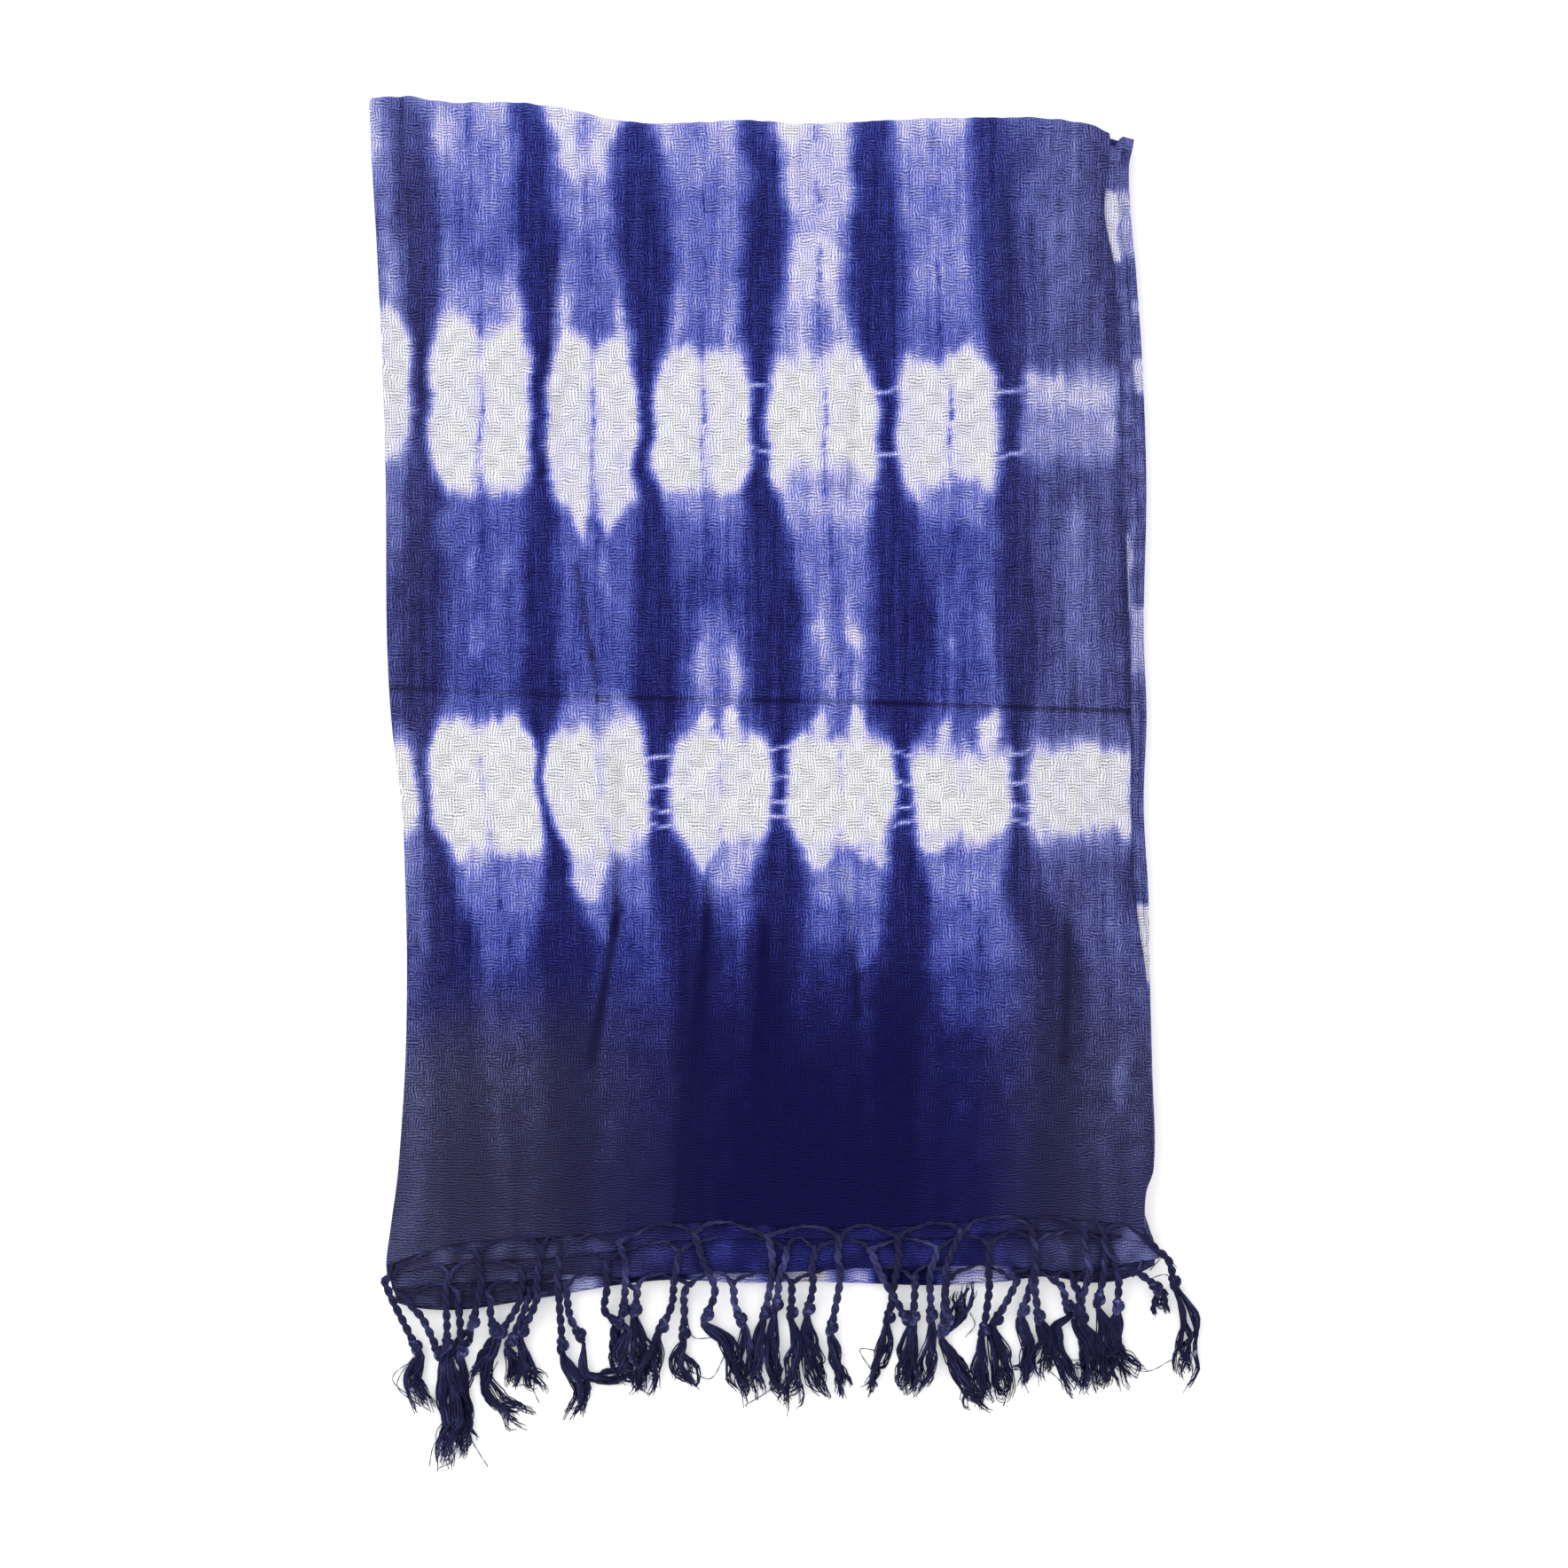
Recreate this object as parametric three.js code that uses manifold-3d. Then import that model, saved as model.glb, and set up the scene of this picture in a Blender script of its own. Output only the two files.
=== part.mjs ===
// A tie-dyed stole with a knotted fringe, folded flat. Millimetres, +Z up, hems towards -Y.
// The cloth is folded once in width, at the left, and twice in length, at the top and the bottom,
// so eight layers lie on each other. The layers that show are walls of their own, and the hidden
// ones are one rounded solid. The fringes are knotted cords on strips that follow the hems.
import * as THREE from "three";
import Module from "manifold-3d";

const wasm = await Module();
wasm.setup();

// Driving dimensions.
const CLEARANCE = 0.3;
const CLOTH_WALL = 1.2;
const BACK_WALL = 1.5;
const HIDDEN_LAYERS = 4.2;
const TOP_FOLD_RADIUS = 4.6;
const TOP_FOLD_WRAP = THREE.MathUtils.degToRad(150);
const UNDER_LAYERS_TUCK = 5.6;
const SWELL = 0.8;
const SWELL_FADE = 70;
const LOFT = 1.5;
const LOFT_FADE = 45;
const FRINGE_STRIP_WIDTH = 2;
const CORD_WIDTH = 2.4;
const CORD_HEIGHT = 2;
const KNOT_WIDTH = 4.6;
const KNOT_HEIGHT = 3.4;
const KNOT_LENGTH = 6;
const LOCK_WIDTH = 2.3;
const LOCK_HEIGHT = 1.8;
const CORD_FALL = 15;
const CORD_STEP = 4;
const TO_ORIGIN = { x: 0.41, y: -0.16 };

// Heights of the layers, from the surface up.
const CORE_BOTTOM = BACK_WALL + CLEARANCE;
const CORE_TOP = CORE_BOTTOM + HIDDEN_LAYERS;
const THIRD_BOTTOM = CORE_TOP + CLEARANCE;
const SECOND_BOTTOM = THIRD_BOTTOM + CLOTH_WALL + CLEARANCE;
const FRONT_BOTTOM = SECOND_BOTTOM + CLOTH_WALL + CLEARANCE;
const FRONT_TOP = FRONT_BOTTOM + CLOTH_WALL;

// Sides of the folded stack: the left folds, the front layer's selvedge and the outermost selvedge.
const SIDES = [
  { y: 281, fold: -169.0, frontSelvedge: 124.0, outerSelvedge: 139.0 },
  { y: 264, fold: -168.2, frontSelvedge: 132.3, outerSelvedge: 142.6 },
  { y: 251, fold: -167.6, frontSelvedge: 131.5, outerSelvedge: 140.4 },
  { y: 228, fold: -166.2, frontSelvedge: 130.3, outerSelvedge: 141.5 },
  { y: 209, fold: -165.2, frontSelvedge: 134.0, outerSelvedge: 143.3 },
  { y: 171, fold: -163.5, frontSelvedge: 136.0, outerSelvedge: 145.9 },
  { y: 120, fold: -162.0, frontSelvedge: 138.2, outerSelvedge: 147.5 },
  { y: 63, fold: -161.6, frontSelvedge: 140.2, outerSelvedge: 146.4 },
  { y: 27, fold: -159.8, frontSelvedge: 140.9, outerSelvedge: 147.6 },
  { y: -9, fold: -155.6, frontSelvedge: 141.0, outerSelvedge: 146.4 },
  { y: -45, fold: -154.0, frontSelvedge: 142.6, outerSelvedge: 148.3 },
  { y: -81, fold: -153.4, frontSelvedge: 147.6, outerSelvedge: 149.0 },
  { y: -117, fold: -154.2, frontSelvedge: 149.2, outerSelvedge: 149.9 },
  { y: -154, fold: -156.7, frontSelvedge: 150.0, outerSelvedge: 150.8 },
  { y: -165, fold: -158.0, frontSelvedge: 146.9, outerSelvedge: 147.6 },
  { y: -180, fold: -160.2, frontSelvedge: 146.6, outerSelvedge: 147.4 },
  { y: -196, fold: -161.8, frontSelvedge: 147.4, outerSelvedge: 153.0 },
  { y: -214, fold: -157.5, frontSelvedge: 147.4, outerSelvedge: 148.5 },
];

// Top edge of the front layer, where it turns over the fold.
const TOP_EDGE = [
  { x: -169, y: 279.4 },
  { x: -156, y: 280.1 },
  { x: -135, y: 277.4 },
  { x: -113, y: 277.6 },
  { x: -91, y: 275.4 },
  { x: -70, y: 270.8 },
  { x: -48, y: 268.9 },
  { x: -16, y: 270.4 },
  { x: 6, y: 268.9 },
  { x: 60, y: 271.1 },
  { x: 103, y: 271.2 },
  { x: 125, y: 268.6 },
  { x: 133, y: 265.0 },
  { x: 144, y: 262.0 },
];

// The three hems that show and the bottom fold, at stations across the width.
const HEMS = [
  { x: -162, front: -195.8, second: -200.2, third: -205.4, fold: -210.6 },
  { x: -149, front: -191.2, second: -197.2, third: -204.6, fold: -214.0 },
  { x: -131, front: -186.5, second: -194.6, third: -202.8, fold: -214.6 },
  { x: -109, front: -185.0, second: -193.4, third: -202.6, fold: -211.4 },
  { x: -87, front: -183.6, second: -192.2, third: -199.4, fold: -207.8 },
  { x: -70, front: -182.4, second: -190.0, third: -201.0, fold: -204.8 },
  { x: -46, front: -178.4, second: -186.0, third: -199.6, fold: -202.4 },
  { x: -18, front: -178.6, second: -184.6, third: -199.8, fold: -203.6 },
  { x: 6, front: -180.0, second: -184.8, third: -199.8, fold: -203.2 },
  { x: 28, front: -179.8, second: -185.2, third: -197.2, fold: -203.6 },
  { x: 60, front: -178.8, second: -184.8, third: -196.4, fold: -204.6 },
  { x: 89, front: -176.2, second: -182.4, third: -196.0, fold: -203.2 },
  { x: 107, front: -176.4, second: -181.4, third: -198.0, fold: -201.0 },
  { x: 125, front: -177.5, second: -182.6, third: -197.6, fold: -203.6 },
  { x: 139, front: -179.4, second: -184.8, third: -195.4, fold: -202.0 },
  { x: 153, front: -183.0, second: -187.8, third: -193.0, fold: -195.6 },
];

// Creases of the front layer: a trough from one end to the other, with its depth and half-width.
const CREASES = [
  { x1: -160, y1: 39, x2: 141, y2: 30, depth: 1.3, width: 7 },
  { x1: -109, y1: 217, x2: -100, y2: 156, depth: 0.9, width: 9 },
  { x1: -66, y1: 2, x2: -78, y2: -104, depth: 0.9, width: 12 },
  { x1: -41, y1: -113, x2: -41, y2: -168, depth: 0.8, width: 9 },
  { x1: -7, y1: -85, x2: -7, y2: -150, depth: 0.7, width: 10 },
  { x1: 27, y1: 165, x2: 27, y2: 112, depth: 0.6, width: 10 },
  { x1: 112, y1: 190, x2: 106, y2: 118, depth: 0.7, width: 10 },
  { x1: 126, y1: 70, x2: 122, y2: -60, depth: 0.6, width: 11 },
];

// Edge of the hidden layers at each height: how far it stands in from the outline at a fold, with
// two rounded folds one above the other, and at the selvedges, which lie in steps.
const CORE_EDGE = [
  { rise: 0.0, atFold: 1.5, atSelvedge: 0.8 },
  { rise: 0.4, atFold: 0.5, atSelvedge: 0.5 },
  { rise: 1.1, atFold: 0.0, atSelvedge: 0.5 },
  { rise: 1.8, atFold: 0.6, atSelvedge: 0.9 },
  { rise: 2.1, atFold: 1.6, atSelvedge: 2.4 },
  { rise: 2.4, atFold: 0.6, atSelvedge: 2.6 },
  { rise: 3.1, atFold: 0.0, atSelvedge: 2.6 },
  { rise: 3.8, atFold: 0.7, atSelvedge: 2.9 },
  { rise: 4.2, atFold: 1.8, atSelvedge: 3.6 },
];

// The knotted cords, from left to right. Each leaves its hem at `root`, swings out by `bow`, is
// knotted at (knotX, knotY) and opens into a tassel that ends at (tipX, tipY), `spread` wide.
const CORDS = [
  { hem: "front", root: -160, bow: -6, knotX: -149.8, knotY: -229, tipX: -147.5, tipY: -253, spread: 4 },
  { hem: "third", root: -151, bow: 0, knotX: -141.6, knotY: -231, tipX: -138.5, tipY: -279.4, spread: 5 },
  { hem: "second", root: -142, bow: 0, knotX: -132.4, knotY: -226, tipX: -129.5, tipY: -273, spread: 4 },
  { hem: "front", root: -131, bow: 1, knotX: -124.0, knotY: -222, tipX: -120.5, tipY: -254, spread: 4 },
  { hem: "third", root: -121, bow: 0, knotX: -115.4, knotY: -232, tipX: -112.5, tipY: -261, spread: 5 },
  { hem: "second", root: -112, bow: 0, knotX: -106.0, knotY: -230, tipX: -104.0, tipY: -256, spread: 4 },
  { hem: "front", root: -103, bow: -1, knotX: -97.4, knotY: -226, tipX: -96.0, tipY: -250, spread: 3 },
  { hem: "third", root: -93, bow: 0, knotX: -88.8, knotY: -230, tipX: -87.0, tipY: -257, spread: 4 },
  { hem: "second", root: -84, bow: 1, knotX: -79.8, knotY: -227, tipX: -75.5, tipY: -246, spread: 5 },
  { hem: "front", root: -74, bow: 0, knotX: -69.4, knotY: -222, tipX: -66.0, tipY: -247, spread: 5 },
  { hem: "third", root: -64, bow: 0, knotX: -60.4, knotY: -226, tipX: -57.8, tipY: -245, spread: 4 },
  { hem: "second", root: -53, bow: 0, knotX: -51.4, knotY: -225, tipX: -50.0, tipY: -240, spread: 3 },
  { hem: "front", root: -43, bow: 1, knotX: -41.6, knotY: -226, tipX: -40.5, tipY: -248, spread: 5 },
  { hem: "third", root: -33, bow: 0, knotX: -32.0, knotY: -219, tipX: -32.0, tipY: -240, spread: 4 },
  { hem: "second", root: -24, bow: 0, knotX: -22.8, knotY: -226, tipX: -21.4, tipY: -248, spread: 5 },
  { hem: "front", root: -14, bow: 0, knotX: -12.6, knotY: -217, tipX: -12.4, tipY: -247, spread: 5 },
  { hem: "third", root: -4, bow: 0, knotX: -3.2, knotY: -218, tipX: -2.2, tipY: -246, spread: 4 },
  { hem: "second", root: 5, bow: 0, knotX: 5.8, knotY: -221, tipX: 6.6, tipY: -252, spread: 5 },
  { hem: "front", root: 13, bow: 0, knotX: 14.2, knotY: -217, tipX: 15.4, tipY: -246, spread: 4 },
  { hem: "third", root: 22, bow: 1, knotX: 22.4, knotY: -219, tipX: 24.8, tipY: -248, spread: 4 },
  { hem: "second", root: 40, bow: -1, knotX: 42.0, knotY: -218, tipX: 36.6, tipY: -248, spread: 4 },
  { hem: "front", root: 48, bow: 0, knotX: 49.8, knotY: -220, tipX: 48.2, tipY: -247, spread: 5 },
  { hem: "third", root: 56, bow: 0, knotX: 57.6, knotY: -222, tipX: 56.8, tipY: -246, spread: 4 },
  { hem: "second", root: 64, bow: 0, knotX: 65.6, knotY: -220, tipX: 67.4, tipY: -238, spread: 4 },
  { hem: "front", root: 73, bow: 0, knotX: 73.8, knotY: -226, tipX: 78.4, tipY: -253, spread: 6 },
  { hem: "third", root: 82, bow: 0, knotX: 82.0, knotY: -225, tipX: 86.6, tipY: -246, spread: 3 },
  { hem: "second", root: 91, bow: 0, knotX: 90.2, knotY: -220, tipX: 94.4, tipY: -250, spread: 4 },
  { hem: "front", root: 99, bow: 0, knotX: 98.4, knotY: -218, tipX: 102.2, tipY: -246, spread: 4 },
  { hem: "third", root: 106, bow: 0, knotX: 106.4, knotY: -219, tipX: 110.4, tipY: -249, spread: 4 },
  { hem: "second", root: 114, bow: 0, knotX: 115.0, knotY: -215, tipX: 118.6, tipY: -246, spread: 5 },
  { hem: "front", root: 123, bow: 0, knotX: 123.6, knotY: -217, tipX: 127.4, tipY: -247, spread: 4 },
  { hem: "third", root: 131, bow: 0, knotX: 131.8, knotY: -219, tipX: 135.8, tipY: -244, spread: 4 },
  { hem: "second", root: 139, bow: 0, knotX: 139.8, knotY: -217, tipX: 144.8, tipY: -241, spread: 4 },
  { hem: "third", root: 147, bow: 1, knotX: 150.6, knotY: -209, tipX: 154.4, tipY: -219, spread: 3 },
  { hem: "front", root: 145, bow: 3, knotX: 164.0, knotY: -222, tipX: 165.4, tipY: -243, spread: 4 },
];

function mix(a, b, t) {
  return a + (b - a) * t;
}

function fade(t) {
  return THREE.MathUtils.smoothstep(t, 0, 1);
}

// Reads a column of a table at a station, with a smooth curve through the rows.
function read(rows, station, column, at) {
  const ascending = rows[0][station] < rows[rows.length - 1][station];
  const list = ascending ? rows : [...rows].reverse();
  const last = list.length - 1;
  const clamped = THREE.MathUtils.clamp(at, list[0][station], list[last][station]);
  let i = 0;
  while (i < last - 1 && list[i + 1][station] < clamped) {
    i += 1;
  }
  const span = list[i + 1][station] - list[i][station];
  const t = (clamped - list[i][station]) / span;
  const slope = (k) => {
    const before = list[Math.max(k - 1, 0)];
    const after = list[Math.min(k + 1, last)];
    return ((after[column] - before[column]) / (after[station] - before[station])) * span;
  };
  const rise = list[i + 1][column] - list[i][column];
  const startSlope = slope(i);
  const endSlope = slope(i + 1);
  const curve = (startSlope - rise) * (1 - t) + (rise - endSlope) * t;
  return mix(list[i][column], list[i + 1][column], t) + t * (1 - t) * curve;
}

const side = (column, y) => read(SIDES, "y", column, y);
const topEdge = (x) => read(TOP_EDGE, "x", "y", x);
const hem = (column, x) => read(HEMS, "x", column, x);

// Height that all the upper layers share: the stack swells softly away from its edges.
function swell(x, y) {
  const inFromLeft = (x - side("fold", y)) / SWELL_FADE;
  const inFromRight = (side("frontSelvedge", y) - x) / SWELL_FADE;
  const inFromHem = (y - hem("front", x)) / SWELL_FADE;
  const inFromTop = (topEdge(x) - 2 * TOP_FOLD_RADIUS - y) / SWELL_FADE;
  const edges = fade(inFromLeft) * fade(inFromRight) * fade(inFromHem) * fade(inFromTop);
  return SWELL * edges * (0.6 + 0.4 * Math.sin(x / 55 + 0.7) * Math.cos(y / 70 - 0.3));
}

// Distance from a point to a crease's line, and a factor that lets the crease die out past its ends.
function creaseTrough(crease, x, y) {
  const along = new THREE.Vector2(crease.x2 - crease.x1, crease.y2 - crease.y1);
  const length = along.length();
  along.normalize();
  const t = (x - crease.x1) * along.x + (y - crease.y1) * along.y;
  const past = Math.max(0, -t, t - length) / (2 * crease.width);
  const across = ((x - crease.x1) * along.y - (y - crease.y1) * along.x) / crease.width;
  return crease.depth * Math.exp(-(across * across) - past * past);
}

// Loft of the front layer over the one under it: soft pillows, with the creases pressed into them.
function loft(x, y) {
  const inFromLeft = (x - side("fold", y)) / LOFT_FADE;
  const inFromRight = (side("frontSelvedge", y) - x) / LOFT_FADE;
  const inFromHem = (y - hem("front", x)) / LOFT_FADE;
  const inFromTop = (topEdge(x) - 2 * TOP_FOLD_RADIUS - y) / LOFT_FADE;
  const edges = fade(inFromLeft) * fade(inFromRight) * fade(inFromHem) * fade(inFromTop);
  const pillows = 0.85 + 0.15 * Math.sin(x / 17 + 1.2) * Math.sin(y / 31 + 0.4);
  const troughs = CREASES.reduce((sum, crease) => sum + creaseTrough(crease, x, y), 0);
  return edges * Math.max(0, LOFT * pillows - troughs);
}

// One closed body: a grid of points on its underside, one on its top, and rings of edge points
// between them. `place(u, v, level)` gives the point, with u to the right and v away from the hem.
function slab(columns, rows, levels, place) {
  const points = [];
  const faces = [];
  const add = (u, v, level) => points.push(place(u, v, level)) - 1;
  const grid = (level) => rows.map((v) => columns.map((u) => add(u, v, level)));
  const border = (g) => [
    ...g[0].slice(0, -1),
    ...g.slice(0, -1).map((row) => row[row.length - 1]),
    ...g[g.length - 1].slice(1).reverse(),
    ...g.slice(1).map((row) => row[0]).reverse(),
  ];
  const edgeRing = (level) => [
    ...columns.slice(0, -1).map((u) => add(u, 0, level)),
    ...rows.slice(0, -1).map((v) => add(1, v, level)),
    ...columns.slice(1).reverse().map((u) => add(u, 1, level)),
    ...rows.slice(1).reverse().map((v) => add(0, v, level)),
  ];
  const under = grid(0);
  const upper = grid(levels - 1);
  for (let j = 0; j < rows.length - 1; j += 1) {
    for (let i = 0; i < columns.length - 1; i += 1) {
      const [a, b, c, d] = [upper[j][i], upper[j][i + 1], upper[j + 1][i + 1], upper[j + 1][i]];
      faces.push(a, b, c, a, c, d);
      const [e, f, g, h] = [under[j][i], under[j][i + 1], under[j + 1][i + 1], under[j + 1][i]];
      faces.push(e, g, f, e, h, g);
    }
  }
  const rings = [border(under)];
  for (let level = 1; level < levels - 1; level += 1) {
    rings.push(edgeRing(level));
  }
  rings.push(border(upper));
  for (let k = 0; k < rings.length - 1; k += 1) {
    for (let i = 0; i < rings[k].length; i += 1) {
      const next = (i + 1) % rings[k].length;
      faces.push(rings[k][i], rings[k][next], rings[k + 1][next]);
      faces.push(rings[k][i], rings[k + 1][next], rings[k + 1][i]);
    }
  }
  const geometry = new THREE.BufferGeometry();
  geometry.setAttribute("position", new THREE.Float32BufferAttribute(points.flat(), 3));
  geometry.setIndex(faces);
  return geometry;
}

function evenStations(count) {
  return Array.from({ length: count + 1 }, (_, i) => i / count);
}

// A place on a layer: its outline drawn in by `inset` at each side, u across and v from hem to top.
function onLayer(layer, u, v, inset) {
  const guessX = mix(side("fold", 0), side("frontSelvedge", 0), u);
  const endY = layer.top(guessX) - inset.top;
  const startY = hem(layer.hem, guessX) + inset.hem;
  const guessY = mix(startY, endY, v);
  const x = mix(side("fold", guessY) + layer.tuck + inset.fold, layer.right(guessY) - inset.selvedge, u);
  const y = mix(hem(layer.hem, x) + inset.hem, layer.top(x) - inset.top, v);
  return { x, y };
}

// Top end of the layers under the front one. Beside the front layer's corner they reach further up.
function underTop(x) {
  const beside = fade((x - side("frontSelvedge", 264) - 1.5) / 4);
  return topEdge(x) - UNDER_LAYERS_TUCK * (1 - beside);
}

const LAYERS = {
  front: { hem: "front", tuck: 0, right: (y) => side("frontSelvedge", y), top: topEdge },
  second: {
    hem: "second",
    tuck: 0.2,
    right: (y) => mix(side("frontSelvedge", y), side("outerSelvedge", y), 0.55),
    top: (x) => topEdge(x) - UNDER_LAYERS_TUCK,
  },
  third: { hem: "third", tuck: 0.6, right: (y) => side("outerSelvedge", y), top: underTop },
  core: { hem: "fold", tuck: 0.3, right: (y) => side("outerSelvedge", y), top: underTop },
  back: { hem: "fold", tuck: 0.9, right: (y) => side("outerSelvedge", y) - 1, top: (x) => topEdge(x) - 1.2 },
};

const FRONT_COLUMNS = evenStations(20);

// Stations across the under layers, closer together where their corner stands out at the right.
const UNDER_COLUMNS = [...evenStations(12), 0.96, 0.98].sort((a, b) => a - b);
const UNDER_ROWS = evenStations(13);

const EVEN_INSET = (size) => ({ fold: size, selvedge: size, top: size, hem: size });

// The front layer, which turns over the stack's top fold and ends just above the back layer.
function frontPanel() {
  const columns = FRONT_COLUMNS;
  const flatShare = 0.9;
  const creaseRows = [0.424, 0.444];
  const flatRows = [...evenStations(22).map((v) => v * flatShare), ...creaseRows].sort((a, b) => a - b);
  const foldRows = evenStations(5).slice(1).map((v) => mix(flatShare, 1, v));
  const levels = [
    { rise: 0, inset: { fold: 0.5, selvedge: 0.4, top: 0, hem: 0.4 } },
    { rise: 0.5, inset: { fold: 0, selvedge: 0, top: 0, hem: 0 } },
    { rise: 0.95, inset: { fold: 0.4, selvedge: 0.2, top: 0, hem: 0.2 } },
    { rise: CLOTH_WALL, inset: { fold: 1.5, selvedge: 0.5, top: 0, hem: 0.5 } },
  ];
  return slab(columns, [...flatRows, ...foldRows], levels.length, (u, v, level) => {
    const { rise, inset } = levels[level];
    const flat = { ...LAYERS.front, top: (x) => topEdge(x) - TOP_FOLD_RADIUS };
    const { x, y } = onLayer(flat, u, Math.min(v / flatShare, 1), inset);
    if (v <= flatShare) {
      return [x, y, FRONT_BOTTOM + rise + swell(x, y) + loft(x, y)];
    }
    const turn = ((v - flatShare) / (1 - flatShare)) * TOP_FOLD_WRAP;
    const radius = TOP_FOLD_RADIUS - CLOTH_WALL + rise;
    return [x, y + radius * Math.sin(turn), FRONT_TOP - TOP_FOLD_RADIUS + radius * Math.cos(turn)];
  });
}

// A flat layer between others, with rounded edges. `foldSide` is the surface rounded at the left.
function innerPanel(layer, bottom, foldSide) {
  const low = foldSide === "low" ? 1.4 : 0.4;
  const high = foldSide === "high" ? 1.4 : 0.4;
  const levels = [
    { rise: 0, inset: { fold: low, selvedge: 0.4, top: 0.4, hem: 0.4 } },
    { rise: CLOTH_WALL / 2, inset: EVEN_INSET(0) },
    { rise: CLOTH_WALL, inset: { fold: high, selvedge: 0.4, top: 0.4, hem: 0.4 } },
  ];
  return slab(UNDER_COLUMNS, UNDER_ROWS, levels.length, (u, v, level) => {
    const { rise, inset } = levels[level];
    const { x, y } = onLayer(layer, u, v, inset);
    return [x, y, bottom + rise + swell(x, y)];
  });
}

// The hidden layers: one rounded solid whose edges show the folds and the stepped selvedges.
function foldedLayers() {
  return slab(UNDER_COLUMNS, UNDER_ROWS, CORE_EDGE.length, (u, v, level) => {
    const { rise, atFold, atSelvedge } = CORE_EDGE[level];
    const inset = { fold: atFold, selvedge: atSelvedge, top: atFold, hem: atFold };
    const { x, y } = onLayer(LAYERS.core, u, v, inset);
    const lift = level === CORE_EDGE.length - 1 ? swell(x, y) : 0;
    return [x, y, CORE_BOTTOM + rise + lift];
  });
}

// The layer that rests on the surface, with a flat underside and softly rounded edges.
function backPanel() {
  const levels = [
    { rise: 0, inset: EVEN_INSET(0.8) },
    { rise: 0.6, inset: EVEN_INSET(0) },
    { rise: BACK_WALL, inset: EVEN_INSET(0.7) },
  ];
  return slab(evenStations(10), evenStations(10), levels.length, (u, v, level) => {
    const { rise, inset } = levels[level];
    const { x, y } = onLayer(LAYERS.back, u, v, inset);
    return [x, y, rise];
  });
}

// The layer that each fringe's strip runs beside, with its stations, and the strip's height.
const FRINGES = {
  front: { layer: LAYERS.front, columns: FRONT_COLUMNS, bottom: FRONT_BOTTOM },
  second: { layer: LAYERS.second, columns: UNDER_COLUMNS, bottom: SECOND_BOTTOM },
  third: { layer: LAYERS.third, columns: UNDER_COLUMNS, bottom: THIRD_BOTTOM },
};

function toSolid(geometry) {
  const mesh = new wasm.Mesh({
    numProp: 3,
    vertProperties: new Float32Array(geometry.getAttribute("position").array),
    triVerts: new Uint32Array(geometry.index.array),
  });
  return new wasm.Manifold(mesh);
}

function toGeometry(solid) {
  const mesh = solid.getMesh();
  const geometry = new THREE.BufferGeometry();
  geometry.setAttribute("position", new THREE.BufferAttribute(mesh.vertProperties, 3));
  geometry.setIndex(new THREE.BufferAttribute(mesh.triVerts, 1));
  return geometry;
}

// A closed strand of three or four sides along a route. Each stop has a point, a width and a height.
function strand(stops, sides) {
  const points = [];
  const faces = [];
  stops.forEach((stop, i) => {
    const before = stops[Math.max(i - 1, 0)].at;
    const after = stops[Math.min(i + 1, stops.length - 1)].at;
    const ahead = new THREE.Vector3().subVectors(after, before).normalize();
    const across = new THREE.Vector3().crossVectors(ahead, new THREE.Vector3(0, 0, 1)).normalize();
    const up = new THREE.Vector3().crossVectors(across, ahead);
    const corners = sides === 4 ? [[-1, -1], [1, -1], [1, 1], [-1, 1]] : [[-1, -1], [1, -1], [0, 1]];
    corners.forEach(([s, t]) => {
      const corner = stop.at.clone();
      corner.addScaledVector(across, (s * stop.width) / 2);
      corner.addScaledVector(up, (t * stop.height) / 2);
      points.push(...corner.toArray());
    });
  });
  for (let i = 0; i < stops.length - 1; i += 1) {
    for (let k = 0; k < sides; k += 1) {
      const a = i * sides + k;
      const b = i * sides + ((k + 1) % sides);
      faces.push(a, b + sides, b, a, a + sides, b + sides);
    }
  }
  const end = (stops.length - 1) * sides;
  for (let k = 1; k < sides - 1; k += 1) {
    faces.push(0, k, k + 1);
    faces.push(end, end + k + 1, end + k);
  }
  const geometry = new THREE.BufferGeometry();
  geometry.setAttribute("position", new THREE.Float32BufferAttribute(points, 3));
  geometry.setIndex(faces);
  return geometry;
}

// The narrow strip beside a hem that a fringe's cords grow from.
function fringeStrip(fringe) {
  const ends = [0.15, FRINGE_STRIP_WIDTH + 0.15];
  return slab(fringe.columns, [0, 1], 2, (u, v, level) => {
    const { x, y } = onLayer(fringe.layer, u, 0, EVEN_INSET(0));
    const below = mix(ends[1], ends[0], v) + CLEARANCE;
    return [x, y - below, fringe.bottom + level * CLOTH_WALL];
  });
}

// Where a cord has passed the second fringe's strip, and where it leaves the edge of the stack.
function wayDown(x) {
  const strip = FRINGE_STRIP_WIDTH + 3 * CLEARANCE;
  const pastSecond = hem("second", x) - strip;
  const pastEdge = Math.min(hem("third", x) - strip, hem("fold", x));
  return { pastSecond, pastEdge };
}

// Height of a cord's middle on its way over the lower hems, off the edge and along the surface.
function cordHeight(cord, x, y) {
  const half = CORD_HEIGHT / 2 + CLEARANCE;
  const { pastSecond, pastEdge } = wayDown(x);
  const overThird = THIRD_BOTTOM + CLOTH_WALL;
  const overSecond = SECOND_BOTTOM + CLOTH_WALL;
  const beds = {
    front: mix(overThird, overSecond, fade((y - pastSecond + CORD_STEP) / CORD_STEP)),
    second: overThird,
    third: CORE_TOP,
  };
  return mix(beds[cord.hem] + half, CLEARANCE + half, fade((pastEdge - y) / CORD_FALL));
}

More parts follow.
